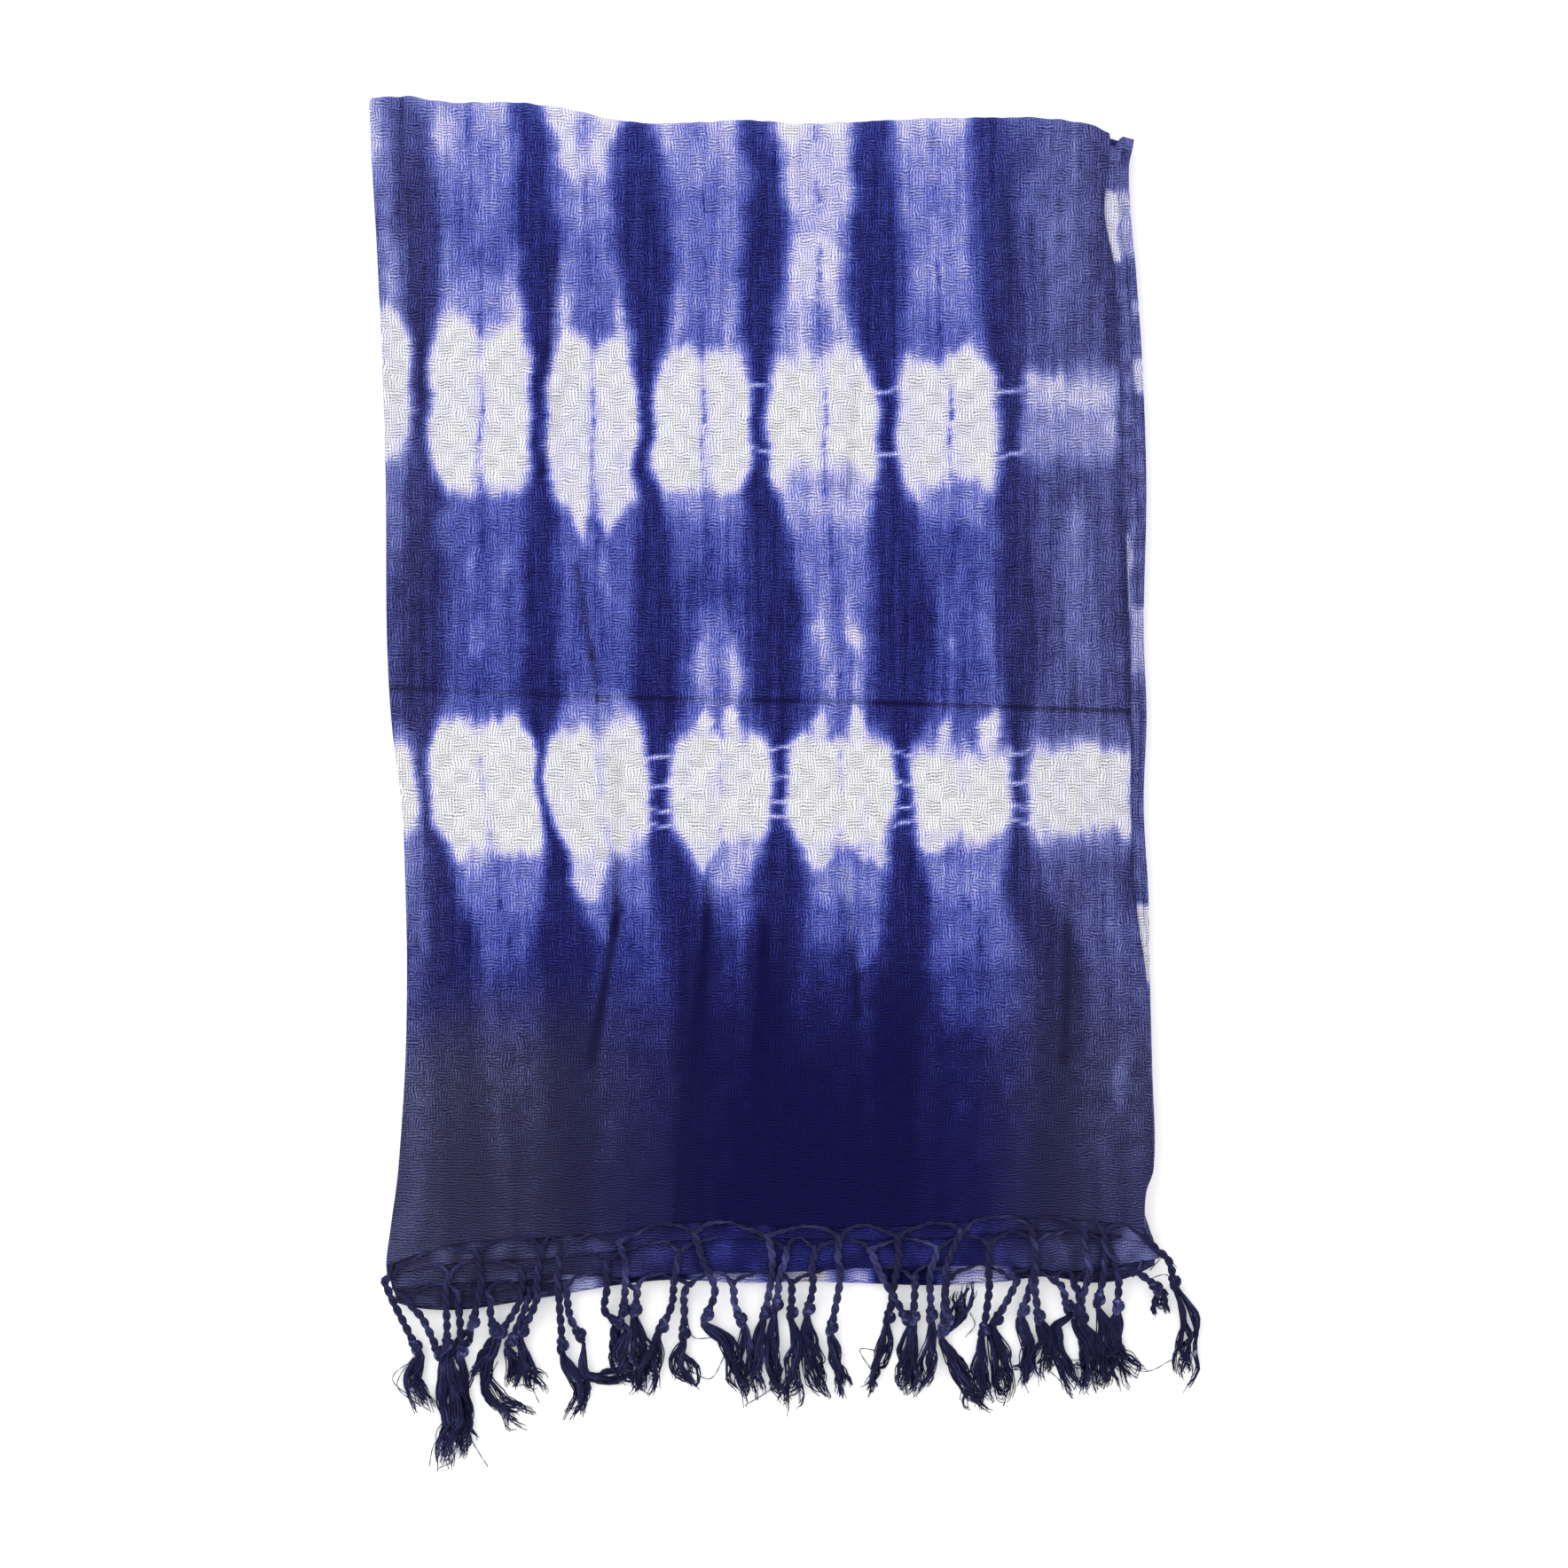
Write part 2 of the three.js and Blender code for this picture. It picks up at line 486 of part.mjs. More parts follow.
// A cord from its hem to its knot, and the three locks of its tassel.
function cordStrands(cord) {
  const startY = hem(cord.hem, cord.root) - CLEARANCE - FRINGE_STRIP_WIDTH / 2;
  const swing = (y) => {
    const t = (startY - y) / (startY - cord.knotY);
    return mix(cord.root, cord.knotX, fade(t)) + cord.bow * 4 * t * (1 - t);
  };
  const knotTop = cord.knotY + KNOT_LENGTH / 2;
  const { pastSecond, pastEdge } = wayDown(cord.root);
  const overHems = cord.hem === "front" ? [pastSecond, pastSecond - CORD_STEP] : [];
  const offEdge = [0, 0.4, 0.8].map((share) => pastEdge - share * CORD_FALL);
  const routeY = [startY, ...overHems, ...offEdge].filter((y) => y > knotTop + 1.5);
  const stops = [...routeY, knotTop].map((y) => ({ y, width: CORD_WIDTH, height: CORD_HEIGHT }));
  const cordStops = stops.map(({ y, width, height }) => {
    const x = swing(y);
    return { at: new THREE.Vector3(x, y, cordHeight(cord, x, y)), width, height };
  });
  const floor = (height) => CLEARANCE + height / 2 + 0.1;
  const knotZ = Math.max(cordHeight(cord, cord.knotX, cord.knotY), floor(KNOT_HEIGHT));
  const knotAt = new THREE.Vector3(cord.knotX, cord.knotY, knotZ);
  cordStops.push({ at: knotAt, width: KNOT_WIDTH, height: KNOT_HEIGHT });
  const middle = new THREE.Vector2(cord.tipX - cord.knotX, cord.tipY - cord.knotY);
  const tassel = (share, aside) => {
    const x = cord.knotX + middle.x * share + aside;
    const y = cord.knotY + middle.y * share;
    return new THREE.Vector3(x, y, floor(LOCK_HEIGHT) + (knotZ - floor(LOCK_HEIGHT)) * (1 - share) ** 2);
  };
  cordStops.push({ at: tassel(0.12, 0), width: LOCK_WIDTH * 1.4, height: LOCK_HEIGHT });
  cordStops.push({ at: tassel(0.55, 0), width: LOCK_WIDTH * 1.2, height: LOCK_HEIGHT });
  cordStops.push({ at: tassel(1, 0), width: LOCK_WIDTH * 0.6, height: LOCK_HEIGHT * 0.6 });
  const locks = [-1, 1].map((way) => {
    const aside = (share) => way * (0.6 + (cord.spread / 2 - 0.6) * share);
    const long = 0.9 + 0.06 * way;
    return strand(
      [
        { at: tassel(0.02, aside(0)), width: LOCK_WIDTH, height: LOCK_HEIGHT },
        { at: tassel(0.5 * long, aside(0.7)), width: LOCK_WIDTH, height: LOCK_HEIGHT },
        { at: tassel(long, aside(1)), width: LOCK_WIDTH * 0.5, height: LOCK_HEIGHT * 0.6 },
      ],
      3,
    );
  });
  return [strand(cordStops, 4), ...locks];
}

function fringeSolid(name) {
  const cords = CORDS.filter((cord) => cord.hem === name);
  const strands = cords.flatMap(cordStrands).map(toSolid);
  const strip = toSolid(fringeStrip(FRINGES[name]));
  return toGeometry(strands.reduce((joined, piece) => joined.add(piece), strip));
}

function clothMaterial(color) {
  return new THREE.MeshStandardMaterial({ color, roughness: 0.92, metalness: 0 });
}

// The origin is on the surface, under the middle of the whole outline.
const group = new THREE.Group();
group.position.set(TO_ORIGIN.x, TO_ORIGIN.y, 0);

function addPiece(name, geometry, color) {
  const mesh = new THREE.Mesh(geometry, clothMaterial(color));
  mesh.name = name;
  group.add(mesh);
}

addPiece("back_panel", backPanel(), 0x50569e);
addPiece("folded_layers", foldedLayers(), 0x9296d0);
addPiece("third_panel", innerPanel(LAYERS.third, THIRD_BOTTOM, "high"), 0x4a4f96);
addPiece("second_panel", innerPanel(LAYERS.second, SECOND_BOTTOM, "low"), 0x5a60a8);
addPiece("front_panel", frontPanel(), 0x6a70b8);
addPiece("fringe_third", fringeSolid("third"), 0x34355a);
addPiece("fringe_second", fringeSolid("second"), 0x3a3b62);
addPiece("fringe_front", fringeSolid("front"), 0x2e2f52);

export default group;
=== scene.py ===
import math

import bpy
import numpy as np
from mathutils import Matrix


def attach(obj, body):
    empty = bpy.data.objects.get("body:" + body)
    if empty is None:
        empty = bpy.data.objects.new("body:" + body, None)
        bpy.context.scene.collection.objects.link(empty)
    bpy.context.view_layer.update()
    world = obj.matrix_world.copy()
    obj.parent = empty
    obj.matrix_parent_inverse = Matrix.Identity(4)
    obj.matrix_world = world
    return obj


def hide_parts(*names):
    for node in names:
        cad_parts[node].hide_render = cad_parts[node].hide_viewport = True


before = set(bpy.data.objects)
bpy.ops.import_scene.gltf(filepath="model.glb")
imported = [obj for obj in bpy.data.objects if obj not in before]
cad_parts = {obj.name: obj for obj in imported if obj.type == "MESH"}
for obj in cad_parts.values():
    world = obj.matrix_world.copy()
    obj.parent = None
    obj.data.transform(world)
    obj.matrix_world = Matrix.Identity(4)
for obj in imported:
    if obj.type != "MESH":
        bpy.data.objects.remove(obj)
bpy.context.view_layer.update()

# The studio: a plain white table that glows a little, so that shadows on it stay faint, an even
# white surround with one wide soft light from the upper left, and the camera straight above the
# middle of the photograph's frame. Its sizes are in metres.
PICTURE_WIDTH = 0.6365
LENS = 85
SENSOR = 36
STACK_HEIGHT = 0.011
MIDDLE = (0.00041, -0.00016)
SURROUND_STRENGTH = 0.99
TABLE_SIZE = 8
TABLE_GLOW = 0.26
LIGHT_POWER = 13
LIGHT_WIDTH = 1.3
LIGHT_PLACE = (-1.0, 0.9, 1.5)
LIGHT_TILT = (math.radians(-31), math.radians(-34), 0)

studio = bpy.context.scene
studio.view_settings.view_transform = "Standard"

surround = bpy.data.worlds.new("white surround")
surround.use_nodes = True
surround_light = surround.node_tree.nodes["Background"].inputs
surround_light["Color"].default_value = (1, 1, 1, 1)
surround_light["Strength"].default_value = SURROUND_STRENGTH
studio.world = surround

bpy.ops.mesh.primitive_plane_add(size=TABLE_SIZE, location=(0, 0, 0))
table_top = bpy.context.object
table_top.name = "table_top"
table_paint = bpy.data.materials.new("white table")
table_paint.use_nodes = True
table_surface = table_paint.node_tree.nodes["Principled BSDF"].inputs
table_surface["Base Color"].default_value = (0.96, 0.96, 0.96, 1)
table_surface["Roughness"].default_value = 0.9
table_surface["Emission Color"].default_value = (1, 1, 1, 1)
table_surface["Emission Strength"].default_value = TABLE_GLOW
table_top.data.materials.append(table_paint)

soft_light = bpy.data.objects.new("soft_light", bpy.data.lights.new("soft_light", "AREA"))
soft_light.data.energy = LIGHT_POWER
soft_light.data.size = LIGHT_WIDTH
soft_light.location = LIGHT_PLACE
soft_light.rotation_euler = LIGHT_TILT
studio.collection.objects.link(soft_light)

camera = bpy.data.objects.new("overhead", bpy.data.cameras.new("overhead"))
camera.data.lens = LENS
camera.data.sensor_width = SENSOR
camera.data.clip_start = 0.05
camera.location = (*MIDDLE, STACK_HEIGHT + PICTURE_WIDTH * LENS / SENSOR)
studio.collection.objects.link(camera)
studio.camera = camera

# The layer that lies on the table: one stretch of the hand-dyed gauze, whose left, top and bottom
# edges curl up into the folds. What all the layers share comes with it: the outline of the folded
# stole, how a sheet of gauze is laid out, its dye pattern and its weave. Sizes are in millimetres.
GAUZE = 0.9
FOLDED_WIDTH = 306
FOLDED_LENGTH = 480
BACK_MIDDLE = 0.45
BACK_TUCK = 0.4
LEFT_LIP = 0.48
TOP_LIP = 0.7
BOTTOM_LIP = 0.5
LIP_WIDTH = 1.6


def table(columns, *rows):
    """A table with named columns."""
    return dict(zip(columns.split(), np.array(rows, dtype=float).T))


def rows_of(columns):
    """The rows of a table, each with its columns' names."""
    return [dict(zip(columns, values)) for values in zip(*columns.values())]


# Sides of the folded stole: the left folds, the front layer's selvedge and the outermost selvedge.
SIDES = table(
    "y fold front_selvedge outer_selvedge",
    (281, -169.0, 124.0, 139.0),
    (264, -168.2, 132.3, 142.6),
    (251, -167.6, 131.5, 140.4),
    (228, -166.2, 130.3, 141.5),
    (209, -165.2, 134.0, 143.3),
    (171, -163.5, 136.0, 145.9),
    (120, -162.0, 138.2, 147.5),
    (63, -161.6, 140.2, 146.4),
    (27, -159.8, 140.9, 147.6),
    (-9, -155.6, 141.0, 146.4),
    (-45, -154.0, 142.6, 148.3),
    (-81, -153.4, 147.6, 149.0),
    (-117, -154.2, 149.2, 149.9),
    (-154, -156.7, 150.0, 150.8),
    (-165, -158.0, 146.9, 147.6),
    (-180, -160.2, 146.6, 147.4),
    (-196, -161.8, 147.4, 153.0),
    (-214, -157.5, 147.4, 148.5),
)
TOP_EDGE = table(
    "x y",
    (-169, 279.4),
    (-156, 280.1),
    (-135, 277.4),
    (-113, 277.6),
    (-91, 275.4),
    (-70, 270.8),
    (-48, 268.9),
    (-16, 270.4),
    (6, 268.9),
    (60, 271.1),
    (103, 271.2),
    (125, 268.6),
    (133, 265.0),
    (144, 262.0),
)
# The three hems that show and the bottom fold, at stations across the width.
HEMS = table(
    "x front second third fold",
    (-162, -195.8, -200.2, -205.4, -210.6),
    (-149, -191.2, -197.2, -204.6, -214.0),
    (-131, -186.5, -194.6, -202.8, -214.6),
    (-109, -185.0, -193.4, -202.6, -211.4),
    (-87, -183.6, -192.2, -199.4, -207.8),
    (-70, -182.4, -190.0, -201.0, -204.8),
    (-46, -178.4, -186.0, -199.6, -202.4),
    (-18, -178.6, -184.6, -199.0, -203.6),
    (6, -180.0, -184.8, -198.4, -203.2),
    (28, -179.8, -185.2, -197.2, -203.6),
    (60, -178.8, -184.8, -196.4, -204.6),
    (89, -176.2, -182.4, -196.0, -203.2),
    (107, -176.4, -181.4, -198.0, -201.0),
    (125, -177.5, -182.6, -197.6, -203.6),
    (139, -179.4, -184.8, -195.4, -202.0),
    (153, -183.0, -187.8, -193.0, -195.6),
)


def mix(a, b, t):
    return a + (b - a) * t


def fade(t):
    t = np.clip(t, 0, 1)
    return t * t * (3 - 2 * t)


def read(rows, station, column, at):
    """A column of a table at a station, on a smooth curve through the rows."""
    order = np.argsort(rows[station])
    stops = rows[station][order]
    values = rows[column][order]
    last = len(stops) - 1
    at = np.clip(at, stops[0], stops[-1])
    i = np.clip(np.searchsorted(stops, at) - 1, 0, last - 1)
    before = np.maximum(np.arange(last + 1) - 1, 0)
    after = np.minimum(np.arange(last + 1) + 1, last)
    slopes = (values[after] - values[before]) / (stops[after] - stops[before])
    span = stops[i + 1] - stops[i]
    t = (at - stops[i]) / span
    rise = values[i + 1] - values[i]
    bend = (slopes[i] * span - rise) * (1 - t) + (rise - slopes[i + 1] * span) * t
    return values[i] + rise * t + t * (1 - t) * bend


def side(column, y):
    return read(SIDES, "y", column, y)


def top_edge(x):
    return read(TOP_EDGE, "x", "y", x)


def hem(column, x):
    return read(HEMS, "x", column, x)


def outer_selvedge(y):
    return side("outer_selvedge", y)


def lay_out(u, v, lower, tuck, right, top):
    """Points of a layer: u from the left fold to the selvedge, v from the hem to the top."""
    guess_x = mix(side("fold", 0), side("front_selvedge", 0), u)
    guess_y = mix(lower(guess_x), top(guess_x), v)
    x = mix(side("fold", guess_y) + tuck, right(guess_y), u)
    y = mix(lower(x), top(x), v)
    return x, y


def stations(count, length, close=(0, 0.4, 0.9, 1.5)):
    """Even stations from 0 to 1, with a few closer ones at both edges for the curl of the cloth."""
    near = np.array(close) / length
    inner = np.linspace(near[-1], 1 - near[-1], count)
    return np.concatenate([near, inner[1:-1], 1 - near[::-1]])


def ripple(x, y, size, seed):
    """Soft uneven waves of about the given size, between -1 and 1 for the most part."""
    random = np.random.default_rng(seed)
    total = np.zeros(np.broadcast(x, y).shape)
    waves = 14
    for _ in range(waves):
        heading = random.uniform(0, 2 * math.pi)
        length = size * random.uniform(0.75, 1.6)
        phase = random.uniform(0, 2 * math.pi)
        total += np.sin((x * math.cos(heading) + y * math.sin(heading)) * 2 * math.pi / length + phase)
    return total / math.sqrt(waves)


def lip(distance, rise):
    """Height that an edge gains over its last stretch, where the cloth curls into a fold."""
    inside = np.clip(distance / LIP_WIDTH, 0, 1)
    return rise * (1 - np.sqrt(1 - (1 - inside) ** 2))


# Dark stripes of the pleats that the cloth was bound in: the middle and the half-width of each.
# Beyond the last of them comes one more, a pleat further on.
LAST_PLEAT = 49
STRIPES = table(
    "y x1 x2 x3 x4 x5 x6 w1 w2 w3 w4 w5 w6",
    (279, -155, -104.5, -60, -12, 36, 84, 5.2, 7, 3.6, 6, 6, 8),
    (246, -150.5, -101.5, -59, -8, 36, 86, 9.5, 7.2, 9.8, 7.5, 7.5, 8.5),
    (223, -148, -100, -57, -7, 37, 87, 8.5, 8.4, 11, 8, 10.5, 8),
    (199, -147.5, -99.5, -55, -9, 37, 88.5, 6.8, 6.4, 10.4, 8.5, 11.5, 8),
    (180, -147.2, -99, -55.5, -10, 39, 89.5, 4.2, 3.8, 6.5, 6, 8.5, 6.5),
    (160, -147.6, -99.5, -56.5, -10, 41.8, 91.6, 3.6, 3.2, 3.4, 3.2, 4.2, 5),
    (131, -147.6, -99.5, -56, -9.6, 42.2, 92, 3.6, 3.2, 3.4, 3.2, 4.2, 5),
    (117, -146.5, -99, -55, -9.5, 44, 93.5, 7, 5, 5, 6.5, 6, 7),
    (84, -147, -98.5, -52, -5, 46, 94.5, 10, 7.5, 9, 10, 11.5, 8.5),
    (52, -147.5, -98.5, -51, -3, 49, 96, 10, 8, 10, 11.5, 13, 8.5),
    (30, -149, -98.5, -51, -2, 48, 96, 8.5, 7, 8.5, 10, 10.5, 6),
    (14, -147.6, -99, -50.6, -2, 48, 95.6, 2.4, 1.9, 4.2, 3.5, 3.8, 3.5),
    (-15, -144.5, -96, -50, -1.5, 48.4, 95.8, 2.4, 1.9, 4.2, 3.5, 3.8, 3.5),
    (-28, -142, -93, -47.5, -1, 48.4, 96, 5, 4.5, 7, 8, 5.5, 5),
    (-42, -139.5, -91.2, -44, -1.5, 49.5, 96.5, 7.5, 5.5, 11, 10.5, 8.5, 8.5),
    (-60, -135.5, -89.5, -37.5, -3.5, 51, 106.5, 10, 10, 11, 12, 10, 11),
    (-85, -135.5, -88, -36, -6, 47.5, 113, 11, 11, 8, 8, 9, 11),
    (-150, -130, -86, -38.5, -6, 45, 110, 11, 8, 5, 5, 7, 9),
)
# How deep the dye is down the cloth, from 0, undyed, to 1: between the stripes and in them.
DEPTH = table(
    "y ground stripe",
    (281, 0.52, 0.75),
    (246, 0.57, 0.82),
    (200, 0.62, 0.84),
    (165, 0.56, 0.86),
    (117, 0.61, 0.84),
    (84, 0.65, 0.85),
    (50, 0.68, 0.86),
    (30, 0.66, 0.86),
    (0, 0.52, 0.84),
    (-30, 0.52, 0.86),
    (-45, 0.63, 0.86),
    (-62, 0.73, 0.88),
    (-82, 0.80, 0.90),
    (-110, 0.86, 0.93),
    (-150, 0.90, 0.95),
    (-215, 0.91, 0.95),
)
# How much deeper or paler the dye is across the lower part of the cloth.
LOWER_DEPTH = table(
    "x more",
    (-165, -0.09),
    (-130, -0.04),
    (-95, 0.0),
    (-55, 0.02),
    (-20, 0.10),
    (30, 0.10),
    (70, 0.04),
    (105, -0.01),
    (150, -0.05),
)
# Paler and darker places of each pleat. A half is -1 left of the pleat's middle, 1 right of it and
# 0 both; near and far are shares of the way from the pleat's middle to its stripe.
PLACES = table(
    "pleat half near far top bottom depth",
    # Top of the cloth.
    (0, 1, -1, 0.35, 290, 246, 0.26),
    (0, 1, 0.30, 0.9, 290, 225, 0.48),
    (1, 0, -1, 1, 290, 240, 0.44),
    (1, -1, 0.20, 0.8, 273, 256, 0.24),
    (1, 1, 0.10, 0.9, 290, 265, 0.28),
    (1, 1, -0.15, 0.5, 250, 226, 0.46),
    (1, -1, 0.45, 0.8, 224, 206, 0.44),
    (1, 1, 0.60, 0.95, 222, 208, 0.42),
    (1, 0, -1, 0.85, 207, 186, 0.40),
    (2, 0, -1, 1, 300, 262, 0.22),
    (2, 0, -1, 0.62, 274, 238, 0.26),
    (2, -1, 0.15, 0.9, 290, 262, 0.08),
    (2, 1, 0.25, 0.9, 290, 263, 0.07),
    (2, -1, 0.15, 0.6, 268, 246, 0.12),
    (2, 1, 0.20, 0.6, 268, 245, 0.12),
    (2, 0, -1, 0.85, 241, 224, 0.40),
    (2, 0, -1, 0.9, 224, 192, 0.52),
    (2, -1, 0.35, 0.75, 224, 202, 0.40),
    (2, 1, 0.30, 0.70, 224, 202, 0.40),
    (3, 0, -1, 0.85, 290, 240, 0.39),
    (3, -1, 0.40, 1, 290, 260, 0.22),
    (3, 1, 0.10, 0.8, 290, 258, 0.24),
    (3, 0, -1, 0.8, 238, 200, 0.50),
    (4, 0, -1, 0.88, 300, 168, 0.33),
    (4, 0, -1, 1, 290, 253, 0.15),
    (4, -1, 0.35, 0.85, 290, 258, 0.03),
    (4, 1, 0.20, 0.65, 290, 258, 0.03),
    (4, 0, -1, 0.80, 258, 224, 0.19),
    (4, 0, -1, 0.85, 221, 193, 0.12),
    (4, 0, -1, 0.3, 199, 176, 0.42),
    (5, 0, -1, 0.62, 300, 204, 0.45),
    (5, 0, -1, 0.86, 300, 258, 0.20),
    (5, 0, -1, 0.8, 204, 186, 0.56),
    (5, 0, -1, 0.5, 260, 236, 0.40),
    (5, 0, -1, 0.6, 222, 194, 0.36),
    (6, 0, -1, 1.4, 300, 168, 0.75),
    (6, 0, -1, 1.4, 300, 263, 0.66),
    (6, 0, -1, 0.34, 272, 178, 0.67),
    (6, -1, 0.50, 0.85, 249, 225, 0.62),
    (6, -1, 0.10, 0.4, 240, 212, 0.55),
    (6, 1, 0.30, 0.5, 268, 236, 0.58),
    # Upper white band.
    (0, 1, 0.10, 0.6, 225, 186, 0.30),
    (0, 1, -1, 0.85, 193, 132, 0.04),
    (1, 1, 0.45, 0.85, 210, 180, 0.20),
    (1, -1, 0.40, 0.8, 196, 180, 0.22),
    (1, -1, -0.04, 1.02, 188, 119, 0.02),
    (1, 1, -0.04, 1.02, 188, 119, 0.02),
    (2, -1, 0.45, 0.80, 205, 178, 0.20),
    (2, 1, 0.45, 0.80, 203, 178, 0.18),
    (2, -1, -0.04, 1.02, 184, 112, 0.04),
    (2, 1, -0.04, 1.02, 183, 113, 0.04),
    (2, -1, 0.05, 0.55, 122, 100, 0.05),
    (2, 1, 0.10, 0.6, 122, 103, 0.06),
    (3, 0, -1, 0.8, 208, 186, 0.46),
    (3, -1, 0.42, 0.78, 204, 174, 0.20),
    (3, 1, 0.40, 0.75, 202, 173, 0.20),
    (3, -1, -0.04, 1.02, 178, 115, 0.03),
    (3, 1, -0.04, 1.02, 177, 115, 0.03),
    (4, -1, 0.25, 0.6, 203, 170, 0.26),
    (4, 1, 0.30, 0.65, 200, 170, 0.24),
    (4, -1, -0.10, 1.02, 174, 116, 0.0),
    (4, 1, -0.10, 1.02, 174, 116, 0.0),
    (5, 1, 0.30, 0.75, 180, 170, 0.30),
    (5, -1, -0.10, 1.02, 171, 115, 0.04),
    (5, 1, -0.10, 1.02, 176, 117, 0.03),
    (6, 0, -1, 1.4, 166, 150, 0.30),
    (6, 0, -1, 1.4, 150, 129, 0.42),
    (6, -1, -0.04, 1.02, 167, 160, 0.18),
    (6, -1, -0.15, 0.6, 160, 153, 0.24),
    (6, 1, -0.15, 0.8, 160, 153, 0.22),
    (6, 1, 0.70, 0.95, 160, 129, 0.20),
    # Between the bands.
    (1, -1, 0.15, 0.4, 98, 82, 0.42),
    (1, 1, 0.35, 0.7, 97, 84, 0.42),
    (1, -1, -0.15, 0.3, 66, 50, 0.47),
    (2, -1, -0.15, 0.2, 103, 75, 0.46),
    (2, 1, 0.15, 0.4, 84, 70, 0.40),
    (2, 0, -1, 0.9, 36, 22, 0.42),
    (3, 0, -1, 0.9, 118, 106, 0.42),
    (3, 0, -1, 0.7, 88, 70, 0.76),
    (3, 0, -1, 0.5, 68, 24, 0.50),
    (3, -1, 0.10, 0.5, 66, 32, 0.26),
    (3, 1, 0.15, 0.55, 62, 32, 0.16),
    (4, 0, -1, 0.80, 126, 30, 0.50),
    (4, 0, -1, 0.9, 122, 104, 0.26),
    (4, -1, 0.15, 0.6, 74, 50, 0.24),
    (4, 1, 0.15, 0.6, 76, 50, 0.22),
    (4, 1, 0.20, 0.5, 67, 50, 0.08),
    (4, -1, 0.10, 0.4, 47, 34, 0.24),
    (4, 1, 0.15, 0.45, 47, 34, 0.20),
    (5, 0, -1, 0.7, 112, 40, 0.68),
    (5, 0, -1, 0.7, 121, 106, 0.44),
    (5, -1, 0.10, 0.3, 61, 50, 0.26),
    (5, 1, 0.30, 0.8, 82, 50, 0.54),
    (6, 0, -1, 1.4, 131, 20, 0.75),
    (6, 0, -1, 0.34, 118, 42, 0.66),
    (6, 0, -1, 0.2, 113, 100, 0.54),
    (6, 1, 0.10, 0.25, 60, 48, 0.50),
    # Lower white band.
    (0, 1, -1, 0.9, 17, -22, 0.0),
    (1, -1, -0.06, 1.02, 28, -32, 0.0),
    (1, 1, -0.06, 1.02, 28, -30, 0.0),
    (1, -1, 0.10, 0.6, -25, -42, 0.14),
    (2, -1, -0.06, 1.02, 23, -34, 0.02),
    (2, 1, -0.06, 1.02, 29, -29, 0.02),
    (2, -1, 0.15, 0.6, -25, -42, 0.08),
    (2, 1, 0.40, 0.9, -22, -36, 0.28),
    (3, -1, 0.10, 0.5, 32, 18, 0.06),
    (3, 1, 0.10, 0.5, 32, 18, 0.05),
    (3, -1, -0.15, 1.02, 20, -26, 0.0),
    (3, 1, -0.15, 1.02, 20, -24, 0.0),
    (3, -1, 0.30, 0.75, -23, -36, 0.06),
    (3, 1, -0.15, 0.9, -22, -36, 0.26),
    (4, -1, 0.25, 0.6, 32, 16, 0.05),
    (4, 1, 0.10, 0.55, 32, 16, 0.03),
    (4, 0, -1, 1.02, 18, -26, 0.0),
    (4, -1, 0.20, 0.8, -23, -35, 0.08),
    (4, 1, 0.30, 0.9, -23, -33, 0.14),
    (5, -1, 0.20, 0.5, 26, 13, 0.05),
    (5, 1, 0.35, 0.75, 30, 13, 0.03),
    (5, 0, -1, 1.02, 15, -22, 0.0),
    (5, -1, 0.30, 0.9, -20, -29, 0.06),
    (6, 0, -1, 1.4, 16, -20, 0.03),
    # Below the bands, where the paler places fade into the dark end.
    (0, 1, 0.30, 0.9, -36, -71, 0.52),
    (1, 0, -1, 0.9, -34, -56, 0.52),
    (1, 0, -1, 0.7, -56, -74, 0.64),
    (2, -1, 0.30, 0.95, -30, -50, 0.14),
    (2, -1, 0.35, 0.80, -50, -62, 0.50),
    (2, 1, 0.10, 0.8, -36, -49, 0.50),
    (3, -1, -0.05, 0.4, -33, -45, 0.30),
    (3, 1, -0.15, 0.7, -33, -43, 0.28),
    (3, 1, -0.15, 0.8, -43, -58, 0.54),
    (3, 1, -0.15, 0.8, -58, -71, 0.70),
    (4, -1, -0.15, 0.4, -35, -46, 0.26),
    (4, 0, -1, 0.8, -36, -49, 0.42),
    (4, 0, -1, 0.8, -49, -64, 0.62),
    (4, 1, 0.30, 0.7, -53, -72, 0.52),
    (5, 0, -1, 0.9, -33, -50, 0.44),
    (5, 0, -1, 1, -50, -72, 0.60),
    (5, 0, -1, 0.6, -72, -98, 0.74),
    (6, 0, -1, 1.4, -26, -80, 0.75),
    (6, 1, 0.05, 0.3, -45, -76, 0.66),
    (6, 0, -1, 0.2, -108, -130, 0.68),
)
# Undyed threads across the stripes, where the binding thread was wound: the first stripe that
# each line of them crosses, and its height.
BINDINGS = table(
    "first_stripe y",
    (4, 160),
    (4, 134),
    (3, 13),
    (3, 1),
    (3, -9),
    (3, -15),
)


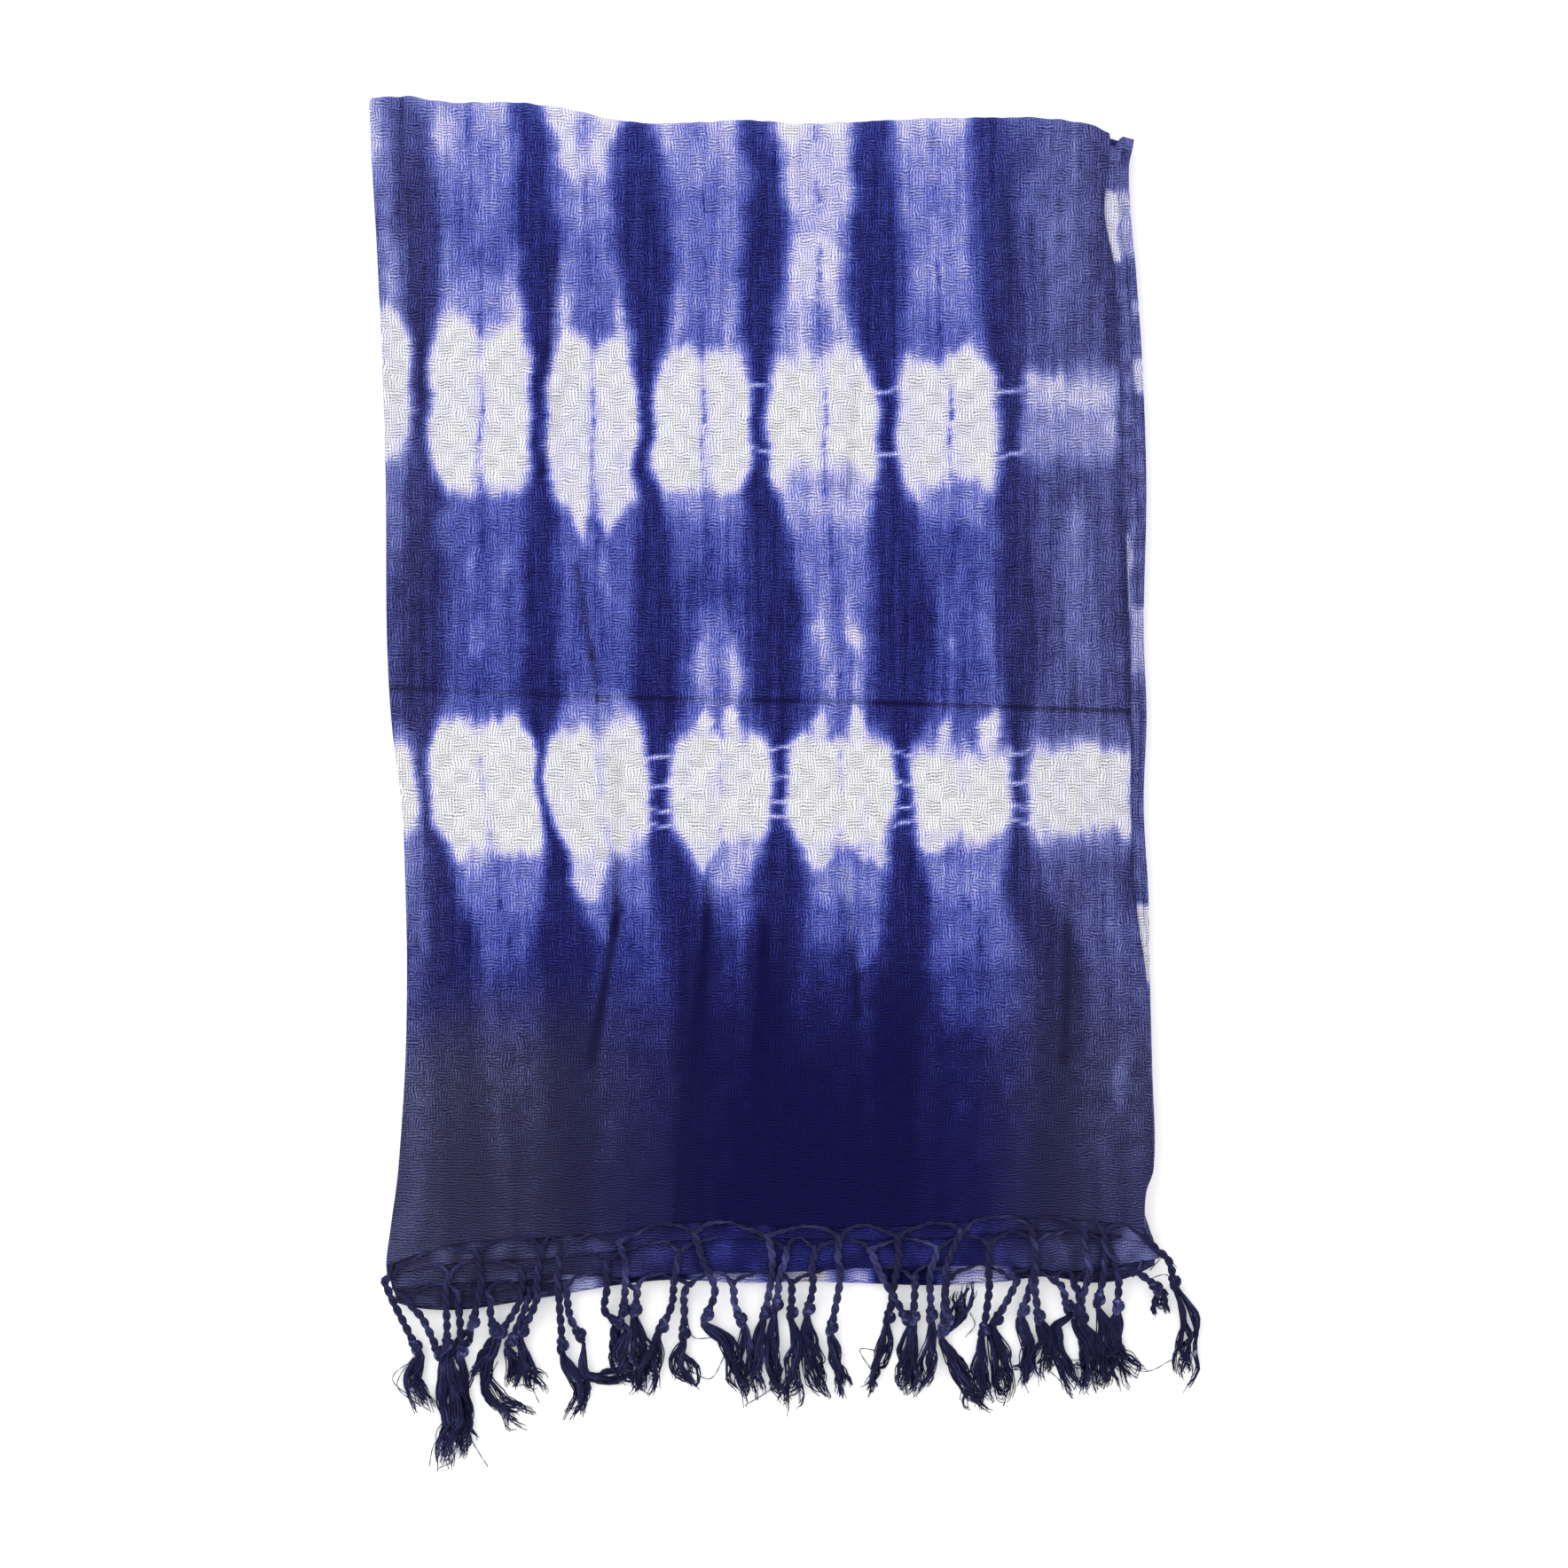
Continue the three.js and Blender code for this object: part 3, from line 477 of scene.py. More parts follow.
def dye_depth(x, y):
    """Depth of the dye at points of the cloth, from 0, undyed, to 1."""
    ragged_y = y + 1.5 * ripple(x, 0.25 * y, 5, 11) + 1.6 * ripple(x, y, 22, 15)
    ragged_x = x + 0.35 * ripple(0.3 * x, y, 5, 12) + 0.9 * ripple(x, y, 24, 16)
    stripe_x = [read(STRIPES, "y", f"x{k}", y) for k in range(1, 7)]
    stripe_w = [read(STRIPES, "y", f"w{k}", y) for k in range(1, 7)]
    first_middle = side("fold", y) + 2
    stripe_x = [2 * first_middle - stripe_x[0], *stripe_x, stripe_x[-1] + LAST_PLEAT]
    stripe_w = [stripe_w[0], *stripe_w, stripe_w[-1]]
    lower = fade((-40 - y) / 80)
    more = lower * read(LOWER_DEPTH, "x", "more", x)
    depth = read(DEPTH, "y", "ground", y) + more
    middles = [(stripe_x[k] + stripe_x[k + 1]) / 2 for k in range(7)]
    # The places, each with a round-cornered outline and laid over the ones before it.
    for row in rows_of(PLACES):
        pleat = int(row["pleat"])
        middle = middles[pleat]
        left = middle - stripe_x[pleat] - 0.6 * stripe_w[pleat]
        right = stripe_x[pleat + 1] - 0.6 * stripe_w[pleat + 1] - middle
        width = np.where(ragged_x < middle, left, right)
        share = (ragged_x - middle) / width
        across = share * row["half"] if row["half"] else np.abs(share)
        feather = min(11.0, 3.5 + 0.2 * (row["top"] - row["bottom"]))
        beside = 1.5 * width * np.minimum(row["far"] - across, across - row["near"])
        ends = 1.0 if row["depth"] < 0.15 else 0.5
        beyond = ends * np.minimum(row["top"] - ragged_y, ragged_y - row["bottom"])
        corner = 1.2 * feather
        inside = corner - np.hypot(np.maximum(corner - beside, 0), np.maximum(corner - beyond, 0))
        in_pleat = (x > stripe_x[pleat]) & (x < stripe_x[pleat + 1])
        share_of_place = fade(inside / feather + 0.5) * in_pleat
        depth = mix(depth, row["depth"], share_of_place)
    depth = depth + (0.022 - 0.012 * lower) * ripple(x, 0.15 * y, 9, 13) + 0.012 * ripple(x, y, 12, 17)
    # The dark stripes, softer where they are wide.
    stripe_depth = read(DEPTH, "y", "stripe", y) + more
    for k in range(8):
        soft = 3.4 + 0.72 * stripe_w[k]
        in_stripe = fade((stripe_w[k] - np.abs(ragged_x - stripe_x[k])) / soft + 0.5)
        depth = mix(depth, np.maximum(depth, stripe_depth), in_stripe)
    # A thin broken line down the middle of each pleat, fainter across the lower white band.
    strength = np.clip(0.55 + 0.7 * ripple(0 * x, y, 17, 14), 0, 1)
    strength = strength * mix(0.5, 1, fade((np.abs(y) - 30) / 10))
    strength = np.clip(strength * (0.75 + 0.35 * ripple(x, y, 4, 16)), 0, 1)
    wander = 0.6 * ripple(0 * x, y, 30, 18)
    for middle in middles[1:6]:
        aside = x - middle - wander
        line = np.exp(-((aside / 0.7) ** 2)) + 0.3 * np.exp(-((aside / 3.2) ** 2))
        depth = depth + 0.44 * line * strength * (1 - depth)
    # The marks of the binding thread.
    for first, height in zip(BINDINGS["first_stripe"], BINDINGS["y"]):
        for k in range(int(first), 7):
            slope = (x - stripe_x[k]) * 0.28 * math.sin(k * 2.1 + height)
            thread = fade(1.4 - np.abs(y - height - 2 * math.sin(3.7 * k) - slope) / 0.8)
            crossing = fade((stripe_w[k] + 1.5 - np.abs(x - stripe_x[k])) / 1.5)
            depth = mix(depth, 0.12, 0.85 * thread * crossing)
    return np.clip(depth, 0, 1)


def faded_tone(x, y):
    """Where the dye has turned greyer: at the left fold, the lower left and the selvedge."""
    left = fade((-125 - x) / 30) * 0.4
    low_left = fade((-15 - x) / 110) * fade((-66 - y) / 60)
    right = fade((x - 70) / 50) * mix(0.5, 0.75, fade((-60 - y) / 60))
    return np.clip(np.maximum(np.maximum(left, low_left), right), 0, 1)


def gauze_sheet(name, middle, threads, depth, tone, fine_under=False, step=2, thickness=GAUZE):
    """One closed sheet of gauze about a grid of points in millimetres, finer on its shown side."""
    along = np.gradient(middle, axis=0)
    across = np.gradient(middle, axis=1)
    normal = np.cross(across, along)
    normal /= np.linalg.norm(normal, axis=2, keepdims=True)
    body = middle.copy()
    for edge, inner in ((np.s_[0, :], np.s_[1, :]), (np.s_[-1, :], np.s_[-2, :]),
                        (np.s_[:, 0], np.s_[:, 1]), (np.s_[:, -1], np.s_[:, -2])):
        inward = middle[inner] - middle[edge]
        inward /= np.linalg.norm(inward, axis=1, keepdims=True)
        body[edge] += inward * 0.3 * thickness
    shown = -1 if fine_under else 1
    fine = body + shown * normal * thickness / 2
    coarse = (body - shown * normal * thickness / 2)[::step, ::step]
    rows, columns = middle.shape[:2]
    index = np.arange(rows * columns).reshape(rows, columns)
    coarse_rows, coarse_columns = coarse.shape[:2]
    coarse_index = rows * columns + np.arange(coarse_rows * coarse_columns)
    coarse_index = coarse_index.reshape(coarse_rows, coarse_columns)

    def ring(grid):
        return np.concatenate([grid[0, :-1], grid[:-1, -1], grid[-1, :0:-1], grid[:0:-1, 0]])

    def quads(grid):
        corners = [grid[:-1, :-1], grid[:-1, 1:], grid[1:, 1:], grid[1:, :-1]]
        return np.stack(corners, axis=-1).reshape(-1, 4)

    flat_ring = ring(index)
    edge_points = middle.reshape(-1, 3)[flat_ring]
    edge_index = rows * columns + coarse_rows * coarse_columns + np.arange(len(flat_ring))
    fine_faces = quads(index)
    coarse_faces = quads(coarse_index)[:, ::-1]
    following = np.roll(np.arange(len(flat_ring)), -1)
    rim = np.stack([edge_index, edge_index[following], flat_ring[following], flat_ring], axis=1)
    under_ring = ring(coarse_index)
    under_edge = []
    for k, corner in enumerate(under_ring):
        next_corner = under_ring[(k + 1) % len(under_ring)]
        points = [edge_index[(k * step + j) % len(edge_index)] for j in range(step + 1)]
        half = step // 2
        for j in range(half):
            under_edge.append((corner, points[j + 1], points[j]))
        under_edge.append((corner, next_corner, points[half]))
        for j in range(half, step):
            under_edge.append((next_corner, points[j + 1], points[j]))
    faces = [*fine_faces.tolist(), *coarse_faces.tolist(), *rim.tolist(), *under_edge]
    if fine_under:
        faces = [face[::-1] for face in faces]
    points = np.concatenate([fine.reshape(-1, 3), coarse.reshape(-1, 3), edge_points])
    points = points * 0.001 + np.array([*MIDDLE, 0])
    mesh = bpy.data.meshes.new(name)
    mesh.from_pydata(points.tolist(), [], faces)
    for label, values in (("dye", depth), ("tone", tone)):
        shown_values = values.reshape(-1)
        plain_values = values[::step, ::step].reshape(-1)
        all_values = np.concatenate([shown_values, plain_values, shown_values[flat_ring]])
        layer = mesh.attributes.new(label, "FLOAT", "POINT")
        layer.data.foreach_set("value", all_values.astype(np.float32))
    flat = threads.reshape(-1, 3)
    all_threads = np.concatenate([flat, threads[::step, ::step].reshape(-1, 3), flat[flat_ring]])
    layer = mesh.attributes.new("threads", "FLOAT_VECTOR", "POINT")
    layer.data.foreach_set("vector", all_threads.astype(np.float32).reshape(-1))
    mesh.shade_smooth()
    sheet = bpy.data.objects.new(name, mesh)
    studio.collection.objects.link(sheet)
    return sheet


class Wire:
    """A value, colour or vector between nodes. Sums and products of values add Math nodes."""

    def __init__(self, work, socket):
        self.work = work
        self.socket = socket

    def math(self, operation, *values):
        return self.work.node("ShaderNodeMath", {"operation": operation}, dict(enumerate(values)))

    def __add__(self, other):
        return self.math("ADD", self, other)

    def __radd__(self, other):
        return self.math("ADD", other, self)

    def __sub__(self, other):
        return self.math("SUBTRACT", self, other)

    def __rsub__(self, other):
        return self.math("SUBTRACT", other, self)

    def __mul__(self, other):
        return self.math("MULTIPLY", self, other)

    def __rmul__(self, other):
        return self.math("MULTIPLY", other, self)

    def sine(self):
        return self.math("SINE", self)

    def clamped(self):
        return self.work.node("ShaderNodeClamp", {}, {0: self, 1: 0.0, 2: 1.0})


class NodeWork:
    """Adds nodes to a tree: a kind of node, its settings, and the values or wires of its sockets."""

    def join(self, socket, value):
        if isinstance(value, Wire):
            self.tree.links.new(value.socket, socket)
        else:
            socket.default_value = value

    def node(self, kind, settings, inputs, result=0):
        node = self.tree.nodes.new(kind)
        for name, setting in settings.items():
            if name == "stops":
                ramp = node.color_ramp
                while len(ramp.elements) < len(setting):
                    ramp.elements.new(0.5)
                for element, (position, color) in zip(ramp.elements, setting):
                    element.position = position
                    element.color = color
            else:
                setattr(node, name, setting)
        for key, value in inputs.items():
            self.join(node.inputs[key], value)
        return Wire(self, node.outputs[result])


class Finish(NodeWork):
    """A material of nodes on a Principled surface."""

    def __init__(self, name, roughness, sheen):
        self.material = bpy.data.materials.new(name)
        self.material.use_nodes = True
        self.tree = self.material.node_tree
        self.surface = self.tree.nodes["Principled BSDF"]
        self.surface.inputs["Roughness"].default_value = roughness
        self.surface.inputs["Sheen Weight"].default_value = sheen
        self.surface.inputs["Specular IOR Level"].default_value = 0.1

    def noise(self, place, stretch, seed, detail=2.0):
        apart = (seed, 2 * seed, 3 * seed)
        scaled = self.node("ShaderNodeVectorMath", {"operation": "MULTIPLY"}, {0: place, 1: stretch})
        moved = self.node("ShaderNodeVectorMath", {"operation": "ADD"}, {0: scaled, 1: apart})
        return self.node("ShaderNodeTexNoise", {}, {"Vector": moved, "Scale": 1.0, "Detail": detail})


def shade(code):
    """A linear colour from a screen colour code."""
    channels = [(code >> shift & 255) / 255 for shift in (16, 8, 0)]
    linear = [c / 12.92 if c <= 0.04045 else ((c + 0.055) / 1.055) ** 2.4 for c in channels]
    return (*linear, 1)


# Colours of the dye by its depth, from undyed to the deepest.
DYE_SHADES = [
    (0.0, shade(0xD8D8DC)),
    (0.14, shade(0xC6C2E4)),
    (0.30, shade(0x9395D0)),
    (0.46, shade(0x696FBD)),
    (0.60, shade(0x4E57A9)),
    (0.76, shade(0x2E3380)),
    (0.88, shade(0x181952)),
    (1.0, shade(0x0B093E)),
]
# The weave: the distance between threads, and the width of a block of them.
THREAD_PITCH = 1.12
BLOCK = 6.4


def gauze_finish(name):
    """The gauze: a basket of ribbed blocks whose threads took up the dye unevenly, with painted shade in
    the hollows of the weave and lighter crowns on its threads.
    """
    finish = Finish(name, 0.95, 0.02)
    place = finish.node("ShaderNodeAttribute", {"attribute_name": "threads"}, {}, "Vector")
    dye = finish.node("ShaderNodeAttribute", {"attribute_name": "dye"}, {}, "Fac")
    tone = finish.node("ShaderNodeAttribute", {"attribute_name": "tone"}, {}, "Fac")
    u = finish.node("ShaderNodeSeparateXYZ", {}, {0: place}, 0)
    v = finish.node("ShaderNodeSeparateXYZ", {}, {0: place}, 1)
    # The threads wander a little off their straight grain.
    wander_u = u + 3.2 * (finish.noise(place, (0.09, 0.11, 0), 3) - 0.5)
    wander_u = wander_u + 1.3 * (finish.noise(place, (0.25, 0.30, 0), 5) - 0.5)
    wander_v = v + 3.2 * (finish.noise(place, (0.11, 0.09, 0), 7) - 0.5)
    wander_v = wander_v + 1.8 * (finish.noise(place, (0.30, 0.25, 0), 9) - 0.5)
    # In a block either the upright or the level threads lie on top. Near the hem it is a plain weave.
    plain = ((-1.0 * v - 128) * 0.03).clamped()
    turn = math.pi / BLOCK
    checks = (wander_u * turn).sine() * (wander_v * turn).sine()
    checks = 1.4 * checks + 2.4 * (finish.noise(place, (0.18, 0.18, 0), 11) - 0.5)
    upright = ((checks + 0.5) * (1 - plain)).clamped()
    pitch = 2 * math.pi / THREAD_PITCH
    warp = 0.5 * (wander_u * pitch).sine() + 0.5
    weft = 0.5 * (wander_v * pitch).sine() + 0.5
    crown = weft + (warp - weft) * upright
    # Each thread took up its own share of the dye, most unevenly where the dye is half deep. The crowns of
    # the threads are also made paler and the hollows between them deeper, as painted shade.
    streak_u = finish.noise(place, (1.0, 0.09, 0), 17) - 0.5
    streak_v = finish.noise(place, (0.09, 1.0, 0), 19) - 0.5
    streaks = streak_v + (streak_u - streak_v) * upright
    mottle = finish.noise(place, (0.16, 0.16, 0), 23, 4.0) - 0.5
    grain = finish.noise(place, (0.9, 0.9, 0), 29, 1.0) - 0.5
    uneven = dye * (1.1 - dye) * (3.8 - 1.5 * dye)
    runs = finish.noise(place, (0.42, 0.02, 0), 31, 3.0) - 0.5
    calm = ((-1.0 * v - 50) * 0.02).clamped()
    runs = runs * (1 - 0.8 * calm)
    dye_uptake_and_crown_shade = mottle * 0.20 + streaks * 0.44 + runs * 0.46 + grain * 0.50 + (0.5 - crown) * 0.19
    depth = (dye + uneven * dye_uptake_and_crown_shade * (1 - 0.5 * plain)).clamped()
    color = finish.node("ShaderNodeValToRGB", {"stops": DYE_SHADES}, {0: depth})
    # The tone greys and darkens the colour. On the front layer it also carries painted shade along the
    # pressed lines.
    faded_and_crease_shaded = {"Saturation": 1 - 0.32 * tone, "Value": 1 - 0.10 * tone, "Color": color}
    color = finish.node("ShaderNodeHueSaturation", {}, faded_and_crease_shaded)
    # Painted shade: the gaps between the threads and the hollows beside them are darkened in the colour
    # and the crowns lightened. The streaks of uneven dye, and a lighter share for blocks whose upright
    # threads lie on top, are multiplied in with it.
    gap = (1 - warp) * (1 - weft)
    gap = (gap * 2.2 - 1.1).clamped()
    weave_shade_and_streaks = 1.02 - gap * 0.84 - (0.5 - crown) * 0.50 + streaks * 0.72 + (upright - 0.5) * 0.10
    weave_shade_and_streaks_color = finish.node("ShaderNodeCombineXYZ", {}, {0: weave_shade_and_streaks, 1: weave_shade_and_streaks, 2: weave_shade_and_streaks})
    color = finish.node(
        "ShaderNodeMix",
        {"data_type": "RGBA", "blend_type": "MULTIPLY"},
        {0: 1.0, 6: color, 7: weave_shade_and_streaks_color},
        2,
    )
    finish.join(finish.surface.inputs["Base Color"], color)
    relief = crown * 0.8 + mottle * 0.8
    bump = finish.node("ShaderNodeBump", {}, {"Strength": 0.7, "Distance": 0.00028, "Height": relief})
    finish.join(finish.surface.inputs["Normal"], bump)
    return finish.material


gauze = gauze_finish("tie-dyed gauze")


def cloth_threads(x, y, z=0.0):
    return np.stack([x, y, np.zeros_like(x) + z], axis=-1)


def back_top(x):
    return top_edge(x) - 1.2


def back_bottom(x):
    return hem("fold", x) + 0.6


def back_selvedge(y):
    return outer_selvedge(y) - 1


u, v = np.meshgrid(stations(133, FOLDED_WIDTH), stations(205, FOLDED_LENGTH))
x, y = lay_out(u, v, back_bottom, BACK_TUCK, back_selvedge, back_top)
curl = lip(x - side("fold", y) - BACK_TUCK, LEFT_LIP)
curl = curl + lip(back_top(x) - y, TOP_LIP) + lip(y - back_bottom(x), BOTTOM_LIP)
back = gauze_sheet(
    "back_layer",
    np.stack([x, y, BACK_MIDDLE + curl], axis=-1),
    cloth_threads(-x, y, 40),
    dye_depth(-x - 12, y * 0.96 + 8),
    faded_tone(-x, y),
    fine_under=True,
)
back.data.materials.append(gauze)
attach(back, "root")
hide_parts("back_panel")

# The hidden layers: four stretches of gauze between the layers that show. Each is curled at the
# left into the fold that it shares with its neighbour, and the outermost turns round the others at
# the bottom, where the bottom fold shows as a pale strip.
HIDDEN_GAUZE = 0.85
UNDER_LAYERS_TUCK = 5.6
OUTER_TURN = 1.45
TURN_STEPS = 14
STRIP_HEIGHT = 9
HIDDEN = table(
    "height lip fold_in selvedge_in bottom_in",
    (2.30, -0.50, 0.5, 2.0, 3.4),
    (3.30, 0.08, 0.3, 0.6, 3.2),
    (4.35, -0.08, 0.3, 1.6, 0.0),
    (5.40, 0.30, 0.5, 2.4, 6.0),
)
# Paler and darker lengths of the bottom fold.
FOLD_STRIP = table(
    "x depth",
    (-160, 0.86),
    (-92, 0.86),
    (-87, 0.42),
    (-77, 0.40),
    (-73, 0.84),
    (-39, 0.84),
    (-34, 0.36),
    (-12, 0.34),
    (-7, 0.70),
    (0, 0.50),
    (3, 0.10),
    (17, 0.08),
    (21, 0.60),
    (25, 0.50),
    (28, 0.32),
    (33, 0.34),
    (38, 0.84),
    (62, 0.84),
    (67, 0.32),
    (89, 0.34),
    (94, 0.84),
    (150, 0.86),
)


def tucked_top(x):
    return top_edge(x) - UNDER_LAYERS_TUCK


hidden_layers = []
for k, row in enumerate(rows_of(HIDDEN)):
    turns = row["bottom_in"] == 0
    fold_in = row["fold_in"]
    start = OUTER_TURN + GAUZE / 2 if turns else row["bottom_in"]

    def lower_edge(x, start=start):
        return hem("fold", x) + start

    def right_edge(y, inward=row["selvedge_in"]):
        return outer_selvedge(y) - inward

    u, v = np.meshgrid(stations(89 if turns else 45, FOLDED_WIDTH), stations(61, FOLDED_LENGTH))
    x, y = lay_out(u, v, lower_edge, fold_in, right_edge, tucked_top)
    z = row["height"] + lip(x - side("fold", y) - fold_in, row["lip"])
    if turns:
        angle = np.linspace(math.pi, 0, TURN_STEPS + 1)[:-1, None]
        turn_y = y[0] - OUTER_TURN * np.sin(angle)
        turn_z = z[0] - OUTER_TURN + OUTER_TURN * np.cos(angle)
        x = np.concatenate([np.repeat(x[:1], TURN_STEPS, axis=0), x])
        y = np.concatenate([turn_y, y])
        z = np.concatenate([turn_z, z])
    depth = dye_depth(x, y * 0.97 + 12)
    strip_depth = read(FOLD_STRIP, "x", "depth", x) + 0.06 * ripple(x, y, 5, 21)
    depth = mix(strip_depth, depth, fade((y - hem("fold", x) - STRIP_HEIGHT) / 4))
    hidden_layers.append(
        gauze_sheet(
            "hidden_layer",
            np.stack([x, y, z], axis=-1),
            cloth_threads(x, y, 10 * k),
            np.clip(depth, 0, 1),
            faded_tone(x, y),
            thickness=HIDDEN_GAUZE,
        )
    )


def join_pieces(name, pieces):
    bpy.ops.object.select_all(action="DESELECT")
    for piece in pieces:
        piece.select_set(True)
    bpy.context.view_layer.objects.active = pieces[0]
    bpy.ops.object.join()
    pieces[0].name = name
    return pieces[0]


folded = join_pieces("folded_layers_cloth", hidden_layers)
folded.data.materials.append(gauze)
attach(folded, "root")
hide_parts("folded_layers")

# The two layers whose selvedges and hems show beyond the front layer's. Each is one stretch of
# gauze, laid flat, whose left edge curls into the fold that it shares with its neighbour.
UNDER_HEIGHTS = {"third": 6.9, "second": 8.4}
UNDER_LIPS = {"third": -0.3, "second": 0.38}
UNDER_TUCKS = {"third": 0.6, "second": 0.2}
# The radius of the front layer's turn over the top fold, and the stack's swell, clear of that turn.
TURN_RADIUS = 4.6
STACK_SWELL = 0.8
SWELL_REACH = 70
# Shares of the width and the length from and up to which the layers show.
SIDE_SHOWS = 0.88
HEM_SHOWS = 0.06
# Where the strips of cloth begin that show at the right and at the hem.
SIDE_STRIP = 118
HEM_STRIP = -168
# Paler places on the strip at the right.
SELVEDGE_MARKS = table(
    "left right top bottom depth",
    (128, 137, 241, 212, 0.10),
    (137, 146, 242, 214, 0.36),
    (140, 146, 238, 233, 0.10),
    (141, 146, 197, 190, 0.36),
    (142, 148, 173, 159, 0.16),
    (137, 141, 101, 70, 0.30),
    (141, 148, 72, 45, 0.34),
    (144, 151, -49, -81, 0.06),
)


def edge_fade(x, y, reach):
    """From 0 at the edges of the front layer's flat part to 1 a reach inside them."""
    edges = fade((x - side("fold", y)) / reach) * fade((side("front_selvedge", y) - x) / reach)
    flat_end = top_edge(x) - 2 * TURN_RADIUS
    return edges * fade((y - hem("front", x)) / reach) * fade((flat_end - y) / reach)


def swell(x, y):
    """The soft rise of the whole stack towards its middle."""
    hills = 0.6 + 0.4 * np.sin(x / 55 + 0.7) * np.cos(y / 70 - 0.3)
    return STACK_SWELL * edge_fade(x, y, SWELL_REACH) * hills


def between(values, low, high, soft):
    """1 between two limits and 0 beyond them, with soft edges."""
    return fade((values - low) / soft + 0.5) * fade((high - values) / soft + 0.5)


def under_depth(x, y):
    """Depth of the dye of the second and third layers, with what shows at the side and the hem."""
    depth = dye_depth(x, y * 0.97 + 70)
    beside = fade((x - SIDE_STRIP) / 6)
    depth = mix(depth, 0.70 + 0.05 * ripple(x, y, 9, 31), beside)
    wavy = x + 1.2 * ripple(0 * x, y, 17, 35)
    for row in rows_of(SELVEDGE_MARKS):
        across = between(wavy, row["left"], row["right"], 1.4)
        down = between(y, row["bottom"], row["top"], 3)
        depth = mix(depth, row["depth"], across * down)
    near_hem = fade((HEM_STRIP - y) / 6)
    hem_depth = 0.86 + 0.06 * ripple(x, y, 12, 32)
    bright = np.exp(-(((x - 145) / 7) ** 2)) * 0.24
    return np.clip(mix(depth, hem_depth - bright, near_hem), 0, 1)


def second_selvedge(y):
    return mix(side("front_selvedge", y), outer_selvedge(y), 0.55)


def third_top(x):
    beside = fade((x - side("front_selvedge", 264) - 1.5) / 4)
    return top_edge(x) - UNDER_LAYERS_TUCK * (1 - beside)


under_edges = {"third": (outer_selvedge, third_top), "second": (second_selvedge, tucked_top)}
fine_columns = np.concatenate([np.linspace(0, SIDE_SHOWS, 49)[:-1], np.linspace(SIDE_SHOWS, 1, 33)])
fine_rows = np.concatenate([np.linspace(0, HEM_SHOWS, 21)[:-1], np.linspace(HEM_SHOWS, 1, 149)])
u, v = np.meshgrid(fine_columns, fine_rows)
for name, (right, top) in under_edges.items():
    tuck = UNDER_TUCKS[name]

    def lower_edge(x, name=name):
        return hem(name, x)

    x, y = lay_out(u, v, lower_edge, tuck, right, top)
    z = UNDER_HEIGHTS[name] + swell(x, y) + lip(x - side("fold", y) - tuck, UNDER_LIPS[name])
    z = z + 0.06 * ripple(x, y, 8, 33)
    sheet = gauze_sheet(
        f"{name}_layer",
        np.stack([x, y, z], axis=-1),
        cloth_threads(x, y, 60),
        under_depth(x, y),
        faded_tone(x, y),
    )
    sheet.data.materials.append(gauze)
    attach(sheet, "root")
    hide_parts(f"{name}_panel")

# The front layer: the stretch of gauze that shows whole, from its hem up over the top fold and
# down behind the stack. It keeps the creases of its folding and of the pleats it was bound in.
FRONT_TOP = 10.5
FRONT_TUCK = 0.25
TURN_ANGLE = math.radians(150)
FRONT_LOFT = 1.5
# Shares of the length between which the crease across the cloth lies.
CREASE_FROM = 0.462
CREASE_TO = 0.500
# Creases: a trough from one end to the other, with its depth and its half-width.
CREASES = table(
    "x1 y1 x2 y2 depth width",
    (-160, 39, 141, 30, 1.3, 7),
    (-109, 217, -100, 156, 0.9, 9),
    (-66, 2, -78, -104, 0.9, 12),
    (-41, -113, -41, -168, 0.8, 9),
    (-7, -85, -7, -150, 0.7, 10),
    (27, 165, 27, 112, 0.6, 10),
    (112, 190, 106, 118, 0.7, 10),
    (126, 70, 122, -60, 0.6, 11),
)
# Sharper lines of the same kind, pressed or pinched into the gauze.
PRESSED_LINES = table(
    "x1 y1 x2 y2 depth width",
    (-73, 35, 20, 33.5, 0.44, 1.1),
    (20, 33.5, 141, 29.5, 0.55, 1.1),
    (-160, 39, -73, 35, 0.26, 1.3),
    (-84, 88, -78, 52, 0.55, 1.4),
    (-78, 52, -74, 22, 0.35, 1.6),
    (29, 160, 26, 118, 0.5, 1.6),
    (-67, 6, -68.5, -56, 0.6, 2.0),
    (-68.5, -56, -77.5, -110, 0.75, 2.0),
    (-30, -44, -36, -110, 0.6, 1.8),
    (-36, -110, -42, -176, 0.8, 2.0),
    (-8, -60, -8.5, -105, 0.6, 2.0),
    (-8.5, -105, 0, -172, 0.7, 2.2),
    (25.5, -38, 30, -92, 0.4, 1.5),
    (42, -121, 48, -175, 0.5, 2.0),
    (-87, 170, -98, 128, 0.5, 2.2),
    (116, -40, 114, -112, 0.4, 2.0),
    (-93, 212, -96, 160, 0.4, 2.4),
)


def trough(row, x, y):
    """How deep one crease is at points of the cloth."""
    along_x = row["x2"] - row["x1"]
    along_y = row["y2"] - row["y1"]
    length = math.hypot(along_x, along_y)
    along_x /= length
    along_y /= length
    t = (x - row["x1"]) * along_x + (y - row["y1"]) * along_y
    past = np.maximum(0, np.maximum(-t, t - length)) / (2 * row["width"])
    across = ((x - row["x1"]) * along_y - (y - row["y1"]) * along_x) / row["width"]
    return row["depth"] * np.exp(-(across**2) - past**2)


def troughs(creases, x, y):
    return sum(trough(row, x, y) for row in rows_of(creases))


def loft(x, y):
    """Soft rise of the front layer over the one under it, with its creases pressed in."""
    pillows = 0.85 + 0.15 * np.sin(x / 17 + 1.2) * np.sin(y / 31 + 0.4)
    return edge_fade(x, y, 45) * np.maximum(0, FRONT_LOFT * pillows - troughs(CREASES, x, y))


